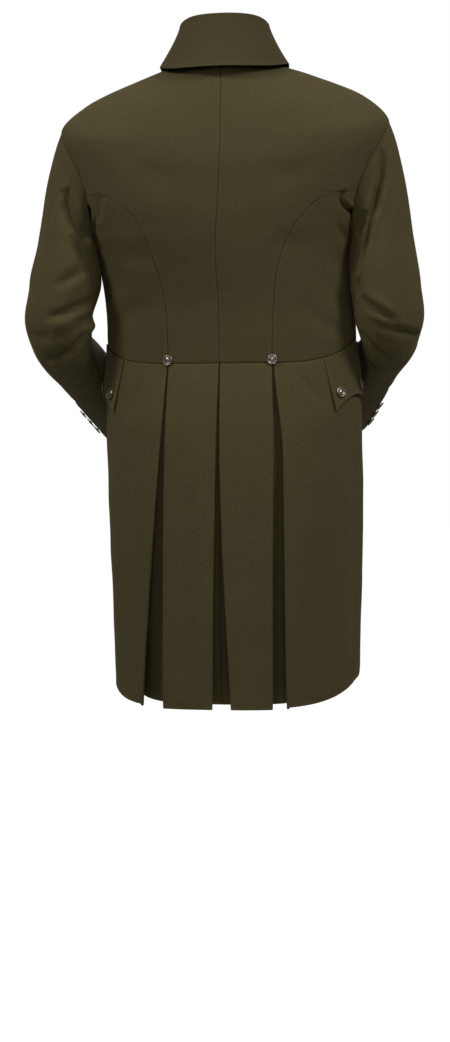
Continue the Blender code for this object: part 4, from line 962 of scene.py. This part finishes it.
shares = steps_along(partial(fall, 0.0), 0.0, 1.0, near=(False, True))
ends = fall_end(shares)
lengths = [path_length(fall(np.linspace(-e, e, 81), s))[-1] for e, s in zip(ends, shares)]
collar_panel("collar_fall", fall, fall_ways, (2 * steps_across(lengths) - 1) * ends[:, None], shares,
             sewn=False)

# Tails. Two back skirts of lined twill, sewn to the waist seam, each folded under at the centre back and
# below the waist button, so that inverted pleats open towards the hem over a hidden underlay.
HEM_ANGLES = (0, 45, 70, 90, 97, 104, 113, 124, 136, 148, 157, 166)
HEM_DROPS = (0.558, 0.555, 0.556, 0.549, 0.538, 0.500, 0.428, 0.330, 0.225, 0.130, 0.070, 0.014)
FOLD_DROPS = (0.0, 0.158, 0.558)
PLEATS = {  # how far each folded edge lies from the middle, at those drops
    -1: {"front": (0.0868, 0.0994, 0.1305), "tail": (0.0856, 0.0903, 0.0930),
         "centre": (0.0006, 0.0030, 0.0075)},
    1: {"front": (0.0868, 0.1050, 0.1105), "tail": (0.0856, 0.0905, 0.0895),
        "centre": (0.0006, 0.0031, 0.0225)},
}
PLEAT_DEPTH, FOLD_RADIUS, PLEAT_OPEN, UNDERLAY_SHORT = 0.034, 0.0015, 0.024, 0.008
UNDERLAY_TUCK = 0.0015  # how far the pleats' inner layers are taken up behind the waist seam
INNER_LAYER = 2.2  # in fold radii behind the face, where the inner layers start
HEM_FACING = 0.03  # how far the turned-up hem shows inside
SKIRT_CREASES = [crease(skirt, *c) for c in (
    (((34, 0.016), (43, 0.047), (52, 0.075)), 5.5, 3.2, 0.5),
    (((-34, 0.020), (-42, 0.060), (-46, 0.110)), 7, 2.5, 0.4),
    # the skirts hang in broad soft waves
    (((11, 0.170), (12, 0.340), (14, 0.545)), 15, 2.5, 0.5),
    (((-13, 0.140), (-12, 0.300), (-13, 0.540)), 16, 2.7, 0.5),
    (((44, 0.200), (47, 0.360), (46, 0.550)), 18, 3.1, 0.6),
    (((-46, 0.170), (-50, 0.340), (-49, 0.550)), 19, 3.2, 0.6),
    (((76, 0.130), (80, 0.330), (78, 0.550)), 20, 4.8, 0.6),
    (((-72, 0.150), (-75, 0.340), (-73, 0.550)), 21, 4.8, 0.6),
    (((104, 0.110), (108, 0.290), (107, 0.480)), 18, 4.4, 0.6),
    (((-100, 0.130), (-105, 0.300), (-103, 0.490)), 19, 4.4, 0.6),
    (((130, 0.060), (129, 0.150), (127, 0.300)), 14, 3.4, 0.5),
    (((-128, 0.050), (-127, 0.160), (-125, 0.310)), 14, 3.4, 0.5),
)]


def arc(x, y, start, end):
    turns = np.radians(np.linspace(start, end, 9))
    return np.stack([x + FOLD_RADIUS * np.cos(turns), y + FOLD_RADIUS * np.sin(turns)], axis=-1)


def straight(a, b, count):
    """The points between two places that part their distance evenly."""
    share = np.linspace(0, 1, count + 1)[1:-1, None]
    return np.asarray(a) + (np.asarray(b) - np.asarray(a)) * share


def fold_path(open_by):
    """Sideways and inward distances from a panel's folded edge, through its return, to the underlay."""
    half = CLOTH / 2
    near = arc(half + FOLD_RADIUS, half + FOLD_RADIUS, -90, -270)
    inner = half + 2 * FOLD_RADIUS + open_by
    far = arc(PLEAT_DEPTH - FOLD_RADIUS, inner + FOLD_RADIUS, -90, 90)
    return np.concatenate([near, straight(near[-1], far[0], 8), far])


def path_ways(path):
    """The outward direction at each point of a folded path."""
    ahead = np.concatenate([path[1:], path[-1:]]) - path
    behind = path - np.concatenate([path[:1], path[:-1]])
    ahead[-1], behind[0] = behind[-1], ahead[0]
    way = unit(unit(ahead) + unit(behind))
    return np.stack([way[:, 1], -way[:, 0]], axis=-1)


def pleated(side, lines, shares):
    """The wall's two faces for a pleated skirt, with each point's angle and drop on the form."""
    skins = []
    for offset in (CLOTH / 2, -CLOTH / 2):
        path = np.array([line + offset * path_ways(line) for line in lines])
        depth = path[..., 1]
        drops = shares[:, None] * (HEM_DROPS[0] - UNDERLAY_SHORT * np.clip(depth / PLEAT_OPEN, 0, 1))
        drops = np.maximum(drops, HALF_SEAM)
        drops = drops - UNDERLAY_TUCK * ((shares[:, None] == 0) & (depth > INNER_LAYER * FOLD_RADIUS))
        s = columns_at(DROP, SKIRT, drops)
        angle = side * np.sign(path[..., 0]) * angle_at(np.abs(path[..., 0]), s["side_x"], s["square"])
        skins.append((skirt(angle, drops) - depth[..., None] * skirt_ways(angle, drops), angle, drops))
    return skins


def fold_at(distances, drop):
    """A folded edge's distance from the middle at a drop."""
    return smooth(drop, FOLD_DROPS, distances)


def skirt_piece(name, outer, inner, angle, drops, front_edge):
    """Settles a skirt's two faces together with the form under them, and finishes the piece."""
    form, ways = skirt(angle, drops), skirt_ways(angle, drops)
    finish_cloth(name, outer, ways, settling(form, ways, SKIRT_CREASES), (True, False, False, False),
                 (False, True, False, front_edge),
                 lined=drops < drops.max(axis=0) - HEM_FACING, skins=(outer, inner), hangs=True)


row_shares = steps_along(lambda v: skirt(0.0, v * HEM_DROPS[0]), 0.0, 1.0)
for word, side in SIDES:
    pleat = PLEATS[side]
    lines = []
    for share in row_shares:
        drop = share * HEM_DROPS[0]
        path = fold_path(PLEAT_OPEN * share)
        centre, tail, front = (fold_at(pleat[key], drop) for key in ("centre", "tail", "front"))
        near = path + np.array([centre, 0])
        far = path * np.array([-1, 1]) + np.array([tail, 0])
        start = np.array([HALF_SEAM, near[-1, 1]])
        end = np.array([(tail + front) / 2 - HALF_SEAM, near[-1, 1]])
        lines.append(np.concatenate([
            start[None], straight(start, near[-1], 7), near[::-1],
            straight(near[0], far[0], 20), far, straight(far[-1], end, 10), end[None]]))
    (outer, angle, drops), (inner, _, _) = pleated(side, lines, row_shares)
    skirt_piece(f"tail_{word}", outer, inner, angle, drops, False)

# Front skirts. One panel of lined twill a side, sewn to the waist seam, from its return in the side pleat
# round to the edge that is cut away from the waist to the hem in a curve. The edge and hem are turned up
# and stitched.
FACE_WIDTH = 0.33  # about how wide the panel's face is, for its mesh
for word, side in SIDES:
    pleat = PLEATS[side]
    lines = []
    for share in row_shares:
        drop = share * HEM_DROPS[0]
        front, tail = fold_at(pleat["front"], drop), fold_at(pleat["tail"], drop)
        path = fold_path(PLEAT_OPEN * share) + np.array([front, 0])
        start = np.array([(front + tail) / 2 + HALF_SEAM, path[-1, 1]])
        lines.append(np.concatenate([start[None], straight(start, path[-1], 10), path[::-1]]))
    (outer, angle, drops), (inner, _, _) = pleated(side, lines, row_shares)
    columns = steps_across([FACE_WIDTH], near=(False, True))[0, 1:]
    hem_fold = angle_at(pleat["front"][-1], SKIRT[-1][1], SKIRT[-1][5])
    hems = smooth(hem_fold + (SKIRT_FRONT_DEG - hem_fold) * columns, HEM_ANGLES, HEM_DROPS)
    face_drops = row_shares[:, None] * hems[None, :]
    s = columns_at(DROP, SKIRT, face_drops)
    first = angle_at(fold_at(pleat["front"], face_drops), s["side_x"], s["square"])
    face_angle = side * (first + (SKIRT_FRONT_DEG - first) * columns)
    face_drops = np.maximum(face_drops, HALF_SEAM)
    face, ways = skirt(face_angle, face_drops), skirt_ways(face_angle, face_drops)
    skirt_piece(
        f"front_skirt_{word}", np.concatenate([outer, face], axis=1),
        np.concatenate([inner, face - CLOTH * ways], axis=1), np.concatenate([angle, face_angle], axis=1),
        np.concatenate([drops, face_drops], axis=1), True)

# Pocket flaps. Two layers of the twill, cut with three points and turned, and caught in the waist seam.
# They hang free, standing off the skirt a little more towards their lower edge.
FLAP_REAR_DEG = (51.5, 57.5)  # at the waist seam and at the rear point
FLAP_WIDTH, FLAP_DROP, FLAP_SCALLOP = 0.156, 0.091, 0.011
FLAP_LIFT, FLAP_TOP, LAID_ON = 0.0035, 0.0006, 0.0004
SCALLOP_POWER = 0.8
FLAP_STEP = 0.0035


def flap_angle(across, down):
    """The angle at a share of the flap's width, at a share of its depth."""
    start = FLAP_REAR_DEG[0] + (FLAP_REAR_DEG[1] - FLAP_REAR_DEG[0]) * down
    angles = start + np.linspace(0, 110, 221)
    line = skirt(angles, np.full(angles.shape, down * FLAP_DROP))
    return np.interp(across * FLAP_WIDTH, path_length(line), angles)


def flap(side, across, down):
    """Points of the flap's under face, the directions out of it, and how far it settles."""
    angle = side * np.array([flap_angle(across[r], down[r, 0]) for r in range(len(down))])
    hollow = FLAP_SCALLOP * np.abs(np.sin(2 * math.pi * across)) ** SCALLOP_POWER
    drop = FLAP_TOP + down * (FLAP_DROP - hollow)
    form, ways = skirt(angle, drop), skirt_ways(angle, drop)
    under = form + (LAID_ON + FLAP_LIFT * down**2)[..., None] * ways
    return under, ways, settling(form, ways, SKIRT_CREASES)


for word, side in SIDES:
    down = steps_along(lambda v: skirt(0.0, v * FLAP_DROP), 0.0, 1.0, step=FLAP_STEP)
    across = steps_across(np.full(down.shape, FLAP_WIDTH), step=FLAP_STEP)
    under, ways, out = flap(side, across, np.broadcast_to(down[:, None], across.shape))
    finish_cloth(f"pocket_flap_{word}", under + CLOTH * ways, ways, out, (False,) * 4,
                 (False, True, True, True))

# Buttons. Turned in pewter with a domed middle, a ring and a raised rim, then antiqued so that the
# hollows stay dark. Each is sewn on by its shank.
BUTTON_RADIUS, BUTTON_THICK, SHANK_RADIUS, SHANK = 0.0083, 0.0028, 0.0022, 0.0011
BUTTON_SEGMENTS, BUTTON_RAYS = 64, 16
RAY_HEIGHT, RAYS_AT, RAYS_REACH = 0.00022, 0.78, 0.22  # the last two in shares of the radius
BUTTON_PROFILE = np.array([  # radius as a share, height in the head's thickness, how hollow
    (0.02, 1.00, 0.0), (0.14, 0.985, 0.0), (0.26, 0.94, 0.0), (0.36, 0.86, 0.2), (0.42, 0.74, 1.0),
    (0.46, 0.72, 1.0), (0.50, 0.80, 0.3), (0.55, 0.86, 0.0), (0.60, 0.82, 0.2), (0.64, 0.66, 1.0),
    (0.70, 0.62, 1.0), (0.76, 0.60, 1.0), (0.80, 0.70, 0.4), (0.86, 0.80, 0.0), (0.92, 0.78, 0.0),
    (0.97, 0.66, 0.0), (1.00, 0.45, 0.1), (0.97, 0.22, 0.4), (0.90, 0.04, 0.8), (0.80, 0.0, 1.0),
    (0.30, 0.0, 1.0),
])
pewter, tree, shader = new_material("antiqued_pewter", Metallic=1.0)
hollow = add_node(tree, "ShaderNodeAttribute", attribute_name="hollow")
spots = grain(tree, 900.0, 3.0, 0.6)
dirt = add_node(tree, "ShaderNodeMath", {0: (hollow, "Fac"), 1: (spots, "Fac")}, operation="MULTIPLY")
dirt = add_node(tree, "ShaderNodeMath", {0: (dirt, 0), 1: 1.7}, operation="MULTIPLY", use_clamp=True)
metal = add_node(tree, "ShaderNodeMix", {
    "Factor": (dirt, 0), 6: linear("8E887C"), 7: linear("3A362F")}, data_type="RGBA")
rough = add_node(tree, "ShaderNodeMapRange", {"Value": (spots, "Fac"), "To Min": 0.24, "To Max": 0.46})
feed(tree, shader, {"Base Color": (metal, 2), "Roughness": (rough, "Result"),
                    "Normal": (bump(tree, spots, 0.15, 0.0002), "Normal")})


def button(name, point, outward):
    """A button at a point on the cloth, facing outward, in place of its node."""
    heads = np.column_stack([BUTTON_PROFILE[:, 0] * BUTTON_RADIUS,
                             SHANK + BUTTON_PROFILE[:, 1] * BUTTON_THICK, BUTTON_PROFILE[:, 2]])
    rings = np.concatenate([heads, [(SHANK_RADIUS, SHANK, 1.0), (SHANK_RADIUS, 0.0, 1.0)]])
    n, count = BUTTON_SEGMENTS, len(rings)
    turns = np.linspace(0, 2 * math.pi, n, endpoint=False)
    aside = unit(np.cross(outward, [0.0, 0.3, 1.0]))
    up = np.cross(outward, aside)
    round_it = aside * np.cos(turns)[:, None] + up * np.sin(turns)[:, None]
    points = [point + outward * (LAID_ON + SHANK + BUTTON_THICK)]
    for radius, height, _ in rings:
        on_rim = ease(1 - abs(radius / BUTTON_RADIUS - RAYS_AT) / RAYS_REACH)
        rays = RAY_HEIGHT * on_rim * np.cos(BUTTON_RAYS * turns) * (height > SHANK + BUTTON_THICK / 2)
        points.extend(point + (LAID_ON + height + rays)[:, None] * outward + radius * round_it)
    points.append(point + outward * LAID_ON)
    last = 1 + (count - 1) * n
    faces = []
    for k in range(n):
        after = (k + 1) % n
        faces.append((0, 1 + k, 1 + after))
        faces.extend((a + k, a + n + k, a + n + after, a + after) for a in range(1, last, n))
        faces.append((last + k, last + n, last + after))
    data = bpy.data.meshes.new(f"{name}_pewter")
    data.from_pydata([tuple(p) for p in points], [], faces)
    give_points(data, "hollow", np.concatenate([[0.0], np.repeat(rings[:, 2], n), [1.0]]))
    data.materials.append(pewter)
    data.polygons.foreach_set("use_smooth", [True] * len(faces))
    piece = add_object(f"{name}_pewter", data)
    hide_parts(name)
    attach(piece, "root")


WAIST_BUTTON_X, WAIST_BUTTON_LEVEL = 0.0855, 0.012
FRONT_BUTTON_LEVELS, FRONT_BUTTON_DEG = (0.05, 0.24, 0.43, 0.62, 0.80), 179.9
CUFF_BUTTON_SHARES, CUFF_BUTTON_DEG = (0.86, 0.905, 0.95), -9
FLAP_BUTTON_INSET, FLAP_BUTTON_DROP = 0.014, 0.070
BESIDE, BELOW = 0.02, 0.05  # shares of the flap, to the places that its slope is read from
BODY = (bodice, bodice_ways, BODY_CREASES)
ARMS = {side: (partial(sleeve, side), partial(sleeve_ways, side), SLEEVE_CREASES[side]) for _, side in SIDES}
for word, side in SIDES:
    s = columns_at(RING, BODICE, WAIST_BUTTON_LEVEL)
    angle = side * angle_at(WAIST_BUTTON_X, s["side_x"], s["square"])
    button(f"waist_button_{word}", *settled(*BODY, angle, WAIST_BUTTON_LEVEL))
    for k, place in enumerate((FLAP_BUTTON_INSET / FLAP_WIDTH, 0.5, 1 - FLAP_BUTTON_INSET / FLAP_WIDTH)):
        across = place + np.array([[0.0, BESIDE], [0.0, BESIDE]])
        down = FLAP_BUTTON_DROP / FLAP_DROP + np.array([[0.0, 0.0], [BELOW, BELOW]])
        under, ways, out = flap(side, across, down)
        face = under + (out + CLOTH)[..., None] * ways
        way = unit(np.cross(face[0, 1] - face[0, 0], face[1, 0] - face[0, 0])) * -side
        button(f"flap_button_{word}_{k + 1}", face[0, 0], way)
    for k, share in enumerate(CUFF_BUTTON_SHARES):
        button(f"cuff_button_{word}_{k + 1}", *settled(*ARMS[side], CUFF_BUTTON_DEG, share))
for k, level in enumerate(FRONT_BUTTON_LEVELS):
    button(f"front_button_{k + 1}", *settled(*BODY, FRONT_BUTTON_DEG, level, LAP_RISE))

# Stitching. Mercerised cotton thread, dyed to the cloth. It holds the turned edges of the collar, the
# flaps, the fronts, the cut-away skirts and the cuffs, and works the buttonholes in a close row along
# each side.
STITCH_SPACING, STITCH_LENGTH, THREAD_WIDTH = 0.0032, 0.0023, 0.0006
THREAD_PROUD = 0.1  # of its width, how far the middle of the thread lies above the cloth
EDGE_STITCH = 0.006  # from an edge to its row of stitches
BUTTONHOLE, HOLE_SPACING, HOLE_STITCH = 0.019, 0.0009, 0.0024
thread, tree, shader = new_material(
    "mercerised_cotton_thread", Roughness=0.6, Specular_IOR_Level=0.4, Sheen_Weight=0.1)
strands = grain(tree, 700.0, 2.0, 0.5)
feed(tree, shader, {"Base Color": (two_tones(tree, strands, "3B3722", "544E34"), "Color"),
                    "Normal": (bump(tree, strands, 0.3, 0.0001), "Normal")})

sewing = bpy.data.node_groups.new("run_of_stitches", "GeometryNodeTree")
sockets = {}
for socket, kind, size in (
        ("Path", "Geometry", None), ("Stitch spacing", "Float", STITCH_SPACING),
        ("Stitch length", "Float", STITCH_LENGTH), ("Thread width", "Float", THREAD_WIDTH),
        ("Thread", "Material", None)):
    made = sewing.interface.new_socket(socket, in_out="INPUT", socket_type=f"NodeSocket{kind}")
    sockets[socket] = made.identifier
    if size is not None:
        made.default_value = size
sewing.interface.new_socket("Stitches", in_out="OUTPUT", socket_type="NodeSocketGeometry")
given = add_node(sewing, "NodeGroupInput")
curve = add_node(sewing, "GeometryNodeMeshToCurve", {"Mesh": (given, "Path")})
spaced = add_node(sewing, "GeometryNodeResampleCurve", {
    "Curve": (curve, "Curve"), "Length": (given, "Stitch spacing")}, mode="LENGTH")
out_of_cloth, lie = (
    add_node(sewing, "GeometryNodeInputNamedAttribute", {"Name": name}, data_type="FLOAT_VECTOR")
    for name in ("outward", "lie"))
turned = add_node(sewing, "FunctionNodeAxesToRotation", {
    "Primary Axis": (out_of_cloth, "Attribute"), "Secondary Axis": (lie, "Attribute")},
    primary_axis="Z", secondary_axis="X")
bead = add_node(sewing, "GeometryNodeMeshUVSphere", {"Segments": 6, "Rings": 4, "Radius": 0.5})
size = add_node(sewing, "ShaderNodeCombineXYZ", {
    "X": (given, "Stitch length"), "Y": (given, "Thread width"), "Z": (given, "Thread width")})
stitch = add_node(sewing, "GeometryNodeTransform", {"Geometry": (bead, "Mesh"), "Scale": (size, "Vector")})
sewn = add_node(sewing, "GeometryNodeInstanceOnPoints", {
    "Points": (spaced, "Curve"), "Instance": (stitch, "Geometry"), "Rotation": (turned, "Rotation")})
real = add_node(sewing, "GeometryNodeRealizeInstances", {"Geometry": (sewn, "Instances")})
dyed = add_node(sewing, "GeometryNodeSetMaterial", {
    "Geometry": (real, "Geometry"), "Material": (given, "Thread")})
add_node(sewing, "NodeGroupOutput", {"Stitches": (dyed, "Geometry")})


def stitches(name, runs, across=False, spacing=STITCH_SPACING, length=STITCH_LENGTH):
    """Sews along each run of points on the cloth, given with the directions out of it."""
    points, edges, outward, ways = [], [], [], []
    for run, out in runs:
        first = len(points)
        ahead = unit(np.gradient(run, axis=0))
        points.extend(run + THREAD_PROUD * THREAD_WIDTH * out)
        edges.extend((first + k, first + k + 1) for k in range(len(run) - 1))
        outward.extend(out)
        ways.extend(np.cross(out, ahead) if across else ahead)
    data = bpy.data.meshes.new(name)
    data.from_pydata([tuple(p) for p in points], edges, [])
    for attribute, values in (("outward", outward), ("lie", ways)):
        give_points(data, attribute, values, "FLOAT_VECTOR", "vector")
    piece = add_object(name, data)
    modifier = piece.modifiers.new("sewing", "NODES")
    modifier.node_group = sewing
    for socket, value in (("Stitch spacing", spacing), ("Stitch length", length),
                          ("Thread width", THREAD_WIDTH), ("Thread", thread)):
        modifier[sockets[socket]] = value
    evaluated = piece.evaluated_get(bpy.context.evaluated_depsgraph_get())
    sewn_mesh = bpy.data.meshes.new_from_object(evaluated)
    piece.modifiers.remove(modifier)
    piece.data = sewn_mesh
    bpy.data.meshes.remove(data)
    sewn_mesh.name = name
    sewn_mesh.polygons.foreach_set("use_smooth", [True] * len(sewn_mesh.polygons))
    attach(piece, "root")


FALL_STITCHES, FALL_INSET_DEG = 0.93, 3.2  # the row's share of the way down the fall, and from its ends
SKIRT_START_DEG, SKIRT_STOP_DEG = SKIRT_FRONT_DEG - 2, 60  # the row along the cut-away edge
SKIRT_TOP_DROP = 0.004  # no stitch nearer the waist seam
BODY_ROUND, CUFF_LENGTH = 0.135, 0.30  # metres of cloth for a radian of angle, and for a unit of share
HOLE_ROUND, HOLE_HALF = 0.138, 0.0017  # the same at the buttonholes, and half a hole's height, in level
HOLE_START, HOLE_END = -0.12, 0.88  # from the button's middle, in shares of a hole's length
down, along = np.linspace(0.10, FALL_STITCHES, 30), np.linspace(-1, 1, 240)
edge_run = fall_end(down) - FALL_INSET_DEG
angle = np.concatenate([-edge_run, along * edge_run[-1], edge_run[::-1]])
share = np.concatenate([down, np.full(240, FALL_STITCHES), down[::-1]])
points, ways = fall(angle, share), fall_ways(angle, share)
out = settling(points, ways, unevenness=COLLAR_RIPPLE)
stitches("stitches_collar", [(points + out[:, None] * ways, ways)])

for word, side in SIDES:
    inset, low = EDGE_STITCH / FLAP_WIDTH, 1 - EDGE_STITCH / FLAP_DROP
    down, along = np.linspace(0.06, low, 30), np.linspace(inset, 1 - inset, 160)
    across = np.concatenate([np.full(30, inset), along, np.full(30, 1 - inset)])[:, None]
    down = np.concatenate([down, np.full(160, low), down[::-1]])[:, None]
    under, ways, out = flap(side, across, down)
    stitches(f"stitches_flap_{word}", [((under + (out + CLOTH)[..., None] * ways)[:, 0], ways[:, 0])])

edge_angle = -(180 + FRONT_LAP_DEG - np.degrees(EDGE_STITCH / BODY_ROUND))
fronts = [settled(*BODY, edge_angle, np.linspace(0.02, 0.97, 260), LAP_RISE)]
for _, side in SIDES:
    angle = np.linspace(SKIRT_START_DEG, SKIRT_STOP_DEG, 400)
    cut_edge = smooth(angle, HEM_ANGLES, HEM_DROPS)
    over = path_length(skirt(angle, 0.2))
    drop = cut_edge - EDGE_STITCH * np.sqrt(1 + np.gradient(cut_edge, over) ** 2)
    keep = drop > SKIRT_TOP_DROP
    fronts.append(settled(skirt, skirt_ways, SKIRT_CREASES, side * angle[keep], drop[keep]))
stitches("stitches_fronts", fronts)

turn = np.linspace(-180, 180, 181)
stitches("stitches_cuffs", [settled(*ARMS[side], turn, 1 - EDGE_STITCH / CUFF_LENGTH) for _, side in SIDES])

reach = np.linspace(HOLE_START, HOLE_END, 24) * np.degrees(BUTTONHOLE / HOLE_ROUND)
stitches("buttonholes", [
    settled(*BODY, -(FRONT_BUTTON_DEG + reach), level + offset, LAP_RISE)
    for level in FRONT_BUTTON_LEVELS for offset in (-HOLE_HALF, HOLE_HALF)
], across=True, spacing=HOLE_SPACING, length=HOLE_STITCH)

# Floor, light and camera. A seamless sweep of matt white paper, large soft lights as in a studio, and
# the camera a little to the wearer's right of the middle of the back, level with the waist.
FLOOR_Z, FLOOR_SIDE, FLOOR_FAR = -1.58, 60.0, 400.0
floor_data = bpy.data.meshes.new("floor")
floor_data.from_pydata([(-FLOOR_SIDE, -FLOOR_SIDE, FLOOR_Z), (FLOOR_SIDE, -FLOOR_SIDE, FLOOR_Z),
                        (FLOOR_SIDE, FLOOR_FAR, FLOOR_Z), (-FLOOR_SIDE, FLOOR_FAR, FLOOR_Z)],
                       [], [(0, 1, 2, 3)])
paper, tree, shader = new_material(
    "matt_white_paper", Roughness=0.9, Base_Color=linear("B4B4B2"), Emission_Color=linear("FFFFFF"))
ray = add_node(tree, "ShaderNodeLightPath")
glow = add_node(tree, "ShaderNodeMapRange", {"Value": (ray, "Is Camera Ray"), "To Min": 0.0, "To Max": 0.95})
feed(tree, shader, {"Emission Strength": (glow, "Result")})
floor_data.materials.append(paper)
add_object("floor", floor_data)

world = bpy.data.worlds.new("studio")
bpy.context.scene.world = world
bpy.context.scene.view_settings.view_transform = "Standard"
world.use_nodes = True
tree = world.node_tree
direction = add_node(tree, "ShaderNodeTexCoord")
ways = add_node(tree, "ShaderNodeSeparateXYZ", {"Vector": (direction, "Generated")})
backdrop = add_node(tree, "ShaderNodeMapRange", {
    "Value": (ways, "Y"), "From Min": -0.6, "From Max": 1.0, "To Min": 0.035, "To Max": 0.34})
ray = add_node(tree, "ShaderNodeLightPath")
strength = add_node(tree, "ShaderNodeMix", {
    "Factor": (ray, "Is Camera Ray"), 2: (backdrop, "Result"), 3: 1.0}, data_type="FLOAT")
feed(tree, tree.nodes["Background"], {"Strength": (strength, 0), "Color": linear("FFFFFF")})

for name, place, aim_z, size, power in (
        ("box_left", (-2.1, -1.35, 1.9), -0.35, 0.7, 70.0),
        ("box_right", (2.2, -1.3, 1.9), -0.35, 0.7, 69.0),
        ("front_fill", (0.3, -3.8, 0.9), -0.5, 1.6, 29.0),
        ("far_side", (0.2, 3.4, 0.9), -0.4, 1.6, 40.0),
        ("overhead", (0.1, -1.3, 2.3), -0.2, 0.8, 12.0)):
    light = bpy.data.lights.new(name, "AREA")
    light.shape, light.size, light.energy = "SQUARE", size, power
    lamp = add_object(name, light)
    lamp.location = place
    x, y, z = place
    fall_by = math.atan2(z - aim_z, math.hypot(x, y))
    lamp.rotation_euler = (math.pi / 2 - fall_by, 0.0, math.atan2(-x, y) + math.pi)

CAMERA_AWAY, CAMERA_Z, CAMERA_TURN = 5.0, -0.752, math.radians(4.5)
PIXEL, PICTURE_HIGH = 0.00165, 1042  # metres a pixel at the coat's middle, and the picture's pixels
SENSOR = 24.0
view = bpy.data.cameras.new("camera")
view.sensor_fit, view.sensor_height = "VERTICAL", SENSOR
view.lens = SENSOR * CAMERA_AWAY / (PICTURE_HIGH * PIXEL)
camera = add_object("camera", view)
camera.location = (CAMERA_AWAY * math.sin(CAMERA_TURN), -CAMERA_AWAY * math.cos(CAMERA_TURN), CAMERA_Z)
camera.rotation_euler = (math.pi / 2, 0.0, CAMERA_TURN)
bpy.context.scene.camera = camera
